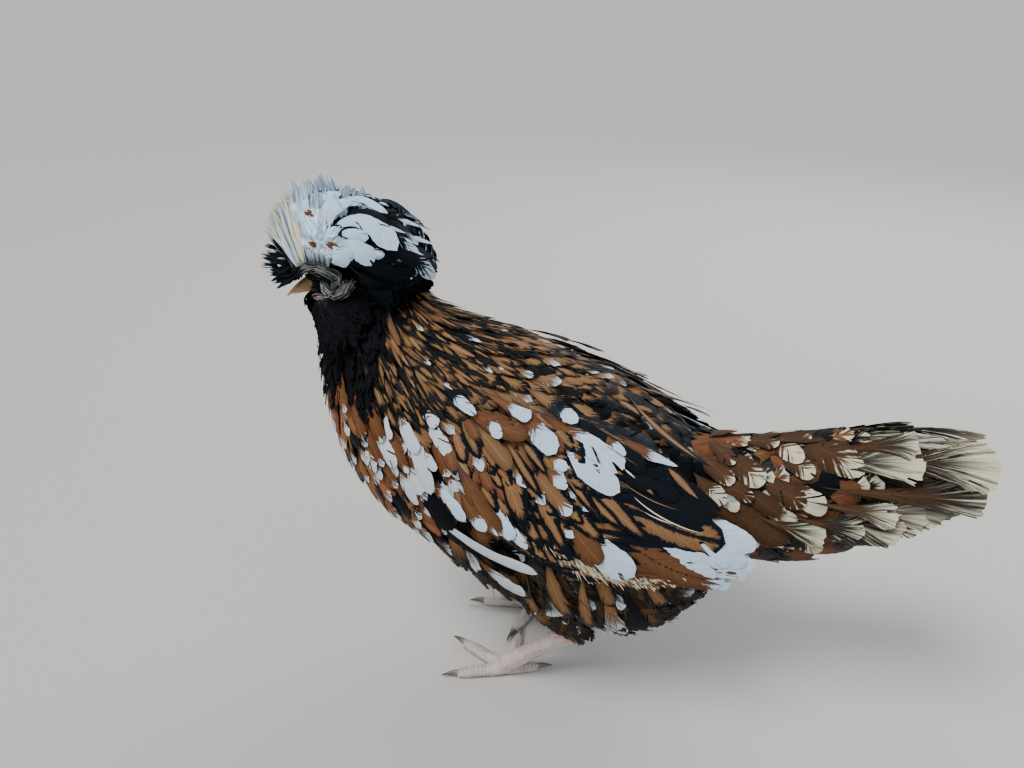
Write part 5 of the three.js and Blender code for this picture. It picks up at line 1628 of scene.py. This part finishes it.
# Horn takes its colour from the piece's own tones, with darker flecks where the mean of two noises is
# high.
def hornMaterial(name, scale=300.0, rough=0.4, flecks=0.35, bump=0.25):
    material, tree, shader = newMaterial(name)
    coords = add(tree, "ShaderNodeTexCoord").outputs["Object"]
    tone = attribute(tree, "tone")["Color"]
    fine = noise(tree, coords, scale, 4.0)
    mask = ramp(tree, calc(tree, ("+", ("*", fine, 0.5),
                                  ("*", noise(tree, coords, scale / 5, 2.0), 0.5))), 0.35, 0.68)
    dark = mixed(tree, 1.0, tone, (0.45, 0.4, 0.38, 1), "MULTIPLY")
    feed(tree, shader, {
        "Base Color": mixed(tree, calc(tree, ("*", mask, 2 * flecks)), tone, dark),
        "Normal": bumped(tree, fine, bump, 0.0003), "Roughness": rough,
    })
    return material


points, quads = legScales()
scales = meshFrom("legScales", points, quads)
tint(scales, [0.56, 0.49, 0.46, 1])
put("legScales", scales, hornMaterial("leg scutes", 220))
print("legScales", len(quads) * 2, "triangles")


# A closed piece with its faces turned outwards: the sum of the corners' triple products is six times the
# volume.
def solidMesh(name, parts):
    made = []
    for points, tris in parts:
        volume = np.einsum("ij,ij->", points[tris[:, 0]], np.cross(points[tris[:, 1]], points[tris[:, 2]]))
        made.append((points, tris if volume > 0 else tris[:, ::-1]))
    return meshFrom(name, *joined(made))


# A colour for each vertex of a closed tube, from a curve of colours along its rings.
def ringTones(places, around, at, colours):
    along = np.append(np.repeat(places, around), (places[0], places[-1]))
    return vec(*(np.interp(along, at, column) for column in zip(*colours)), 1)


# Eyes: a ball that bulges over the iris by 6 percent at most, fading with the square of the angle from
# the gaze
eyeLook = {"ahead": 0.28, "up": 0.05, "pupil": 0.36, "iris": 0.92}


# The middle, the gaze, and the directions ahead and up square to it, of the eye on her left (1) or right
# (-1).
def eyeFrame(side):
    middle = atHead(eyePlace["forward"], side * eyePlace["out"], eyePlace["up"])
    gaze = unit(atHead(eyeLook["ahead"], side, eyeLook["up"]) - atHead(0, 0, 0))
    ahead = atHead(1, 0, 0) - atHead(0, 0, 0)
    ahead = unit(ahead - gaze * (gaze @ ahead))
    return middle, gaze, ahead, np.cross(gaze, ahead) * side


# A place on the eye at an angle t from the gaze and a turn a round it: the middle plus the bulged radius
# times gaze cos(t) + (ahead cos(a) + up sin(a)) sin(t).
def onEye(side):
    middle, gaze, ahead, up = eyeFrame(side)

    def place(t, a, lift):
        t, a, lift = np.broadcast_arrays(np.asarray(t, float), a, lift)
        r = ((eyePlace["radius"] + lift) * (1 + 0.06 * np.exp(-(t / 0.5) ** 2)))[..., None]
        t, a = t[..., None], a[..., None]
        return middle + r * (gaze * np.cos(t) + ahead * np.sin(t) * np.cos(a) + up * np.sin(t) * np.sin(a))

    return place


# A pupil within 0.36 radians of the gaze, a flecked iris that darkens from 0.7 to 0.92, and a wet coat.
def eyeMaterial():
    material, tree, shader = newMaterial("eye")
    gaze = attribute(tree, "gaze")["Fac"]
    coords = add(tree, "ShaderNodeTexCoord").outputs["Object"]
    iris = mixed(tree, noise(tree, coords, 1400.0, 3.0), (0.2, 0.07, 0.02, 1), (0.07, 0.02, 0.008, 1))
    iris = mixed(tree, ramp(tree, gaze, 0.7, eyeLook["iris"]), iris, (0.012, 0.006, 0.004, 1))
    pupil = ramp(tree, gaze, eyeLook["pupil"] + 0.03, eyeLook["pupil"] - 0.03)
    feed(tree, shader, {
        "Base Color": mixed(tree, pupil, iris, (0.002, 0.002, 0.002, 1)), "Roughness": 0.08,
        "Coat Weight": 1.0,
        "Coat Roughness": 0.02,
    })
    return material


eyeSkin = eyeMaterial()
for side, word in ((1, "left"), (-1, "right")):
    t = np.linspace(0.02, np.pi - 0.02, 48)
    eye = solidMesh("eye" + word.title(), [closedTube(onEye(side), t, 48)])
    paint(eye, "gaze", "FLOAT", "value", np.append(np.repeat(t, 48), (0, np.pi)))
    put("eye" + word.title(), eye, eyeSkin, (f"eye_{word}",))
print("eyes")


# Lids: a shell round each eye. Its opening is an oval, wide by 0.86 and high by 0.62 in angle from the
# gaze, with a rolled rim; folds run round it, and its outer edge sinks into the face.
def lidGrid(side, rows=20, columns=96):
    u = np.linspace(0, 1, rows)[:, None]
    a = np.linspace(0, 2 * np.pi, columns, endpoint=False)[None, :]
    opening = 0.74 + 0.12 * np.cos(2 * a) + 0.05 * np.cos(a)
    t = opening + (1.85 - opening) * u
    lift = 0.1 + 0.75 * np.exp(-((u - 0.1) / 0.1) ** 2) + 0.6 * u * (1 - u) + 0.13 * np.sin(42 * u) * u
    lift = np.where(u < 0.02, -0.05, lift - 1.2 * u ** 3)
    points = onEye(side)(t, a, lift)
    quads = gridQuads(rows, columns, closed=True)[0]
    return points.reshape(-1, 3), quads if side > 0 else quads[:, ::-1]


lidMesh = meshFrom("eyelids", *joined([lidGrid(side) for side in (1, -1)]))
tint(lidMesh, [0.075, 0.05, 0.05, 1])
put("eyelids", lidMesh, hornMaterial("eyelid skin", 500, 0.5))

billPlan = {"base": 22, "mouth": -3, "droop": 4, "nostril": (0.27, 0.85)}


# One half of the bill. At a share t of its length, half its width and its height shrink by sqrt(1 -
# t^2.1), and the edge of the mouth droops with t squared. The upper half rises in a narrow arch with a
# knob over the nostrils; each nostril is a raised rim round a slit.
def onBill(upper):
    length, width, height = (26, 7.2, 11) if upper else (21.5, 6, 5.5)

    def place(t, a, lift):
        t, a, lift = np.broadcast_arrays(np.asarray(t, float), a, lift)
        narrow = np.sqrt(np.clip(1 - np.clip(t, 0, 1) ** 2.1, 0.004, 1))
        rise = np.sin(a)
        arch = np.where(rise > 0, np.abs(rise) ** 0.85 * height * (1 - 0.25 * t), -0.9 * np.abs(rise))
        out = width * np.cos(a) * (1 - 0.16 * np.clip(rise, 0, 1) * np.abs(np.cos(a)))
        swell = 0
        if upper:
            at, turn = billPlan["nostril"]
            beside = np.abs(a - np.pi / 2) - (np.pi / 2 - turn)
            swell = 1.3 * np.exp(-((t - 0.13) / 0.11) ** 2) * np.clip(rise, 0, 1)
            swell = swell + 0.8 * np.exp(-((t - at) / 0.1) ** 2 - (beside / 0.3) ** 2)
            swell = swell - 2.0 * np.exp(-((t - at - 0.02) / 0.045) ** 2 - ((beside + 0.05) / 0.13) ** 2)
        hook = 1.6 * np.clip(t, 0, 1) ** 6 if upper else 0
        mouth = billPlan["mouth"] - billPlan["droop"] * (t * length / 26) ** 2 - hook
        sign = 1 if upper else -1
        return atHead(billPlan["base"] + t * length, (out + swell * np.cos(a)) * narrow,
                      mouth + 0.15 * sign + sign * (arch + swell * np.clip(rise, 0, 1)) * narrow)

    return place


billHorn = hornMaterial("bill horn", 420, 0.38, 0.45, 0.4)
for upper, word in ((True, "upper"), (False, "lower")):
    t = np.concatenate([np.linspace(-0.2, 0.9, 56), 1 - 0.1 * np.linspace(0.9, 0, 14) ** 2])
    bill = solidMesh("bill" + word.title(), [closedTube(onBill(upper), t, 80)])
    tint(bill, ringTones(t, 80, [0, 0.2, 0.45, 0.8, 1],
                         [(0.1, 0.06, 0.04), (0.3, 0.17, 0.06), (0.5, 0.31, 0.1),
                                                       (0.52, 0.36, 0.14), (0.26, 0.19, 0.1)]))
    put("bill" + word.title(), bill, billHorn, (f"bill_{word}",))


# Claws: cones along a curve that rises by 1.2 sin(2.4 t) and falls by 2.2 t, narrower than high. Their
# radius shrinks with 1 - 0.86 t^1.1.
def clawTube(side, rows, turn, radius):
    end = np.array([rows[-1, 0], rows[-1, 1], 0.77 * 0.72 * radius])
    t = np.linspace(-0.12, 1, 24)
    size = 0.6 * radius * (1 - 0.86 * np.clip(t, 0, 1) ** 1.1)
    rise = 1.6 + 1.2 * np.sin(2.4 * t) - 2.2 * t
    spots = end + toeWay(side, turn) * (0.9 + t[:, None] * 11) + vec(0, 0, rise)
    spots[:, 2] = np.maximum(spots[:, 2], size + 0.25)
    return closedTube(roundTube(np.column_stack([spots, size]), (0, 0, 1), 0.78), np.arange(24), 20)


claws = solidMesh("claws", [clawTube(side, rows, turn, radius) for side in (-1, 1)
                            for rows, (turn, _, radius) in zip(toeRows(side), toePlan)])
clawTones = ringTones(np.arange(24), 20, [0, 8, 23],
                      [(0.3, 0.24, 0.2), (0.14, 0.115, 0.1), (0.07, 0.06, 0.055)])
tint(claws, np.tile(clawTones, (8, 1)))
put("claws", claws, hornMaterial("claw horn", 260, 0.35),
    [f"claw_{side}_{toe}" for side in ("left", "right") for toe in (1, 2, 3, 4)])
print("bill and claws")


# Floor, light and camera
floorPlan = {"wide": 60.0, "colour": (0.5, 0.49, 0.47, 1), "rough": 0.8}
paper, tree, shader = newMaterial("pale floor")
feed(tree, shader, {"Base Color": floorPlan["colour"], "Roughness": floorPlan["rough"]})
sheet = bpy.data.meshes.new("floor")
corners = [(x * floorPlan["wide"], y * floorPlan["wide"], 0)
           for x, y in ((-1, -1), (1, -1), (1, 1), (-1, 1))]
sheet.from_pydata(corners, [], [(0, 1, 2, 3)])
sheet.materials.append(paper)
floor = bpy.data.objects.new("floor", sheet)
bpy.context.scene.collection.objects.link(floor)

world = bpy.data.worlds.new("studio")
bpy.context.scene.world = world
world.use_nodes = True
world.node_tree.nodes["Background"].inputs[0].default_value = (0.85, 0.88, 0.92, 1)
world.node_tree.nodes["Background"].inputs[1].default_value = 0.6


# A lamp at a place, aimed at a point. A sun's size is the angle that it spans.
def lamp(name, kind, place, aim, strength, size, colour):
    light = bpy.data.lights.new(name, kind)
    setattr(light, "angle" if kind == "SUN" else "size", size)
    light.energy = strength
    light.color = colour
    made = bpy.data.objects.new(name, light)
    made.location = place
    made.rotation_euler = (Vector(aim) - made.location).to_track_quat("-Z", "Y").to_euler()
    bpy.context.scene.collection.objects.link(made)


lamp("key", "SUN", (-0.6, -0.8, 1.9), (0, 0, 0.15), 2.9, 0.45, (1, 0.985, 0.96))
lamp("fill", "AREA", (1.3, -0.9, 0.8), (0, 0, 0.15), 6, 1.4, (0.93, 0.96, 1))
lamp("rim", "AREA", (0.5, 1.3, 1.3), (0, 0, 0.2), 14, 1.0, (0.93, 0.96, 1))

# The camera as fitted to the photograph: 26.5 degrees down and turned 15 degrees from square
cameraPlan = {"place": (134.55, -471.23, 470.0), "down": 26.5, "turn": 15.0, "lens": 28.125}
view = bpy.data.cameras.new("camera")
view.lens = cameraPlan["lens"]
view.sensor_width = 36
camera = bpy.data.objects.new("camera", view)
camera.location = toFrame(np.array(cameraPlan["place"]))
camera.rotation_euler = ((90 - cameraPlan["down"]) * degree, 0, cameraPlan["turn"] * degree)
bpy.context.scene.collection.objects.link(camera)
bpy.context.scene.camera = camera
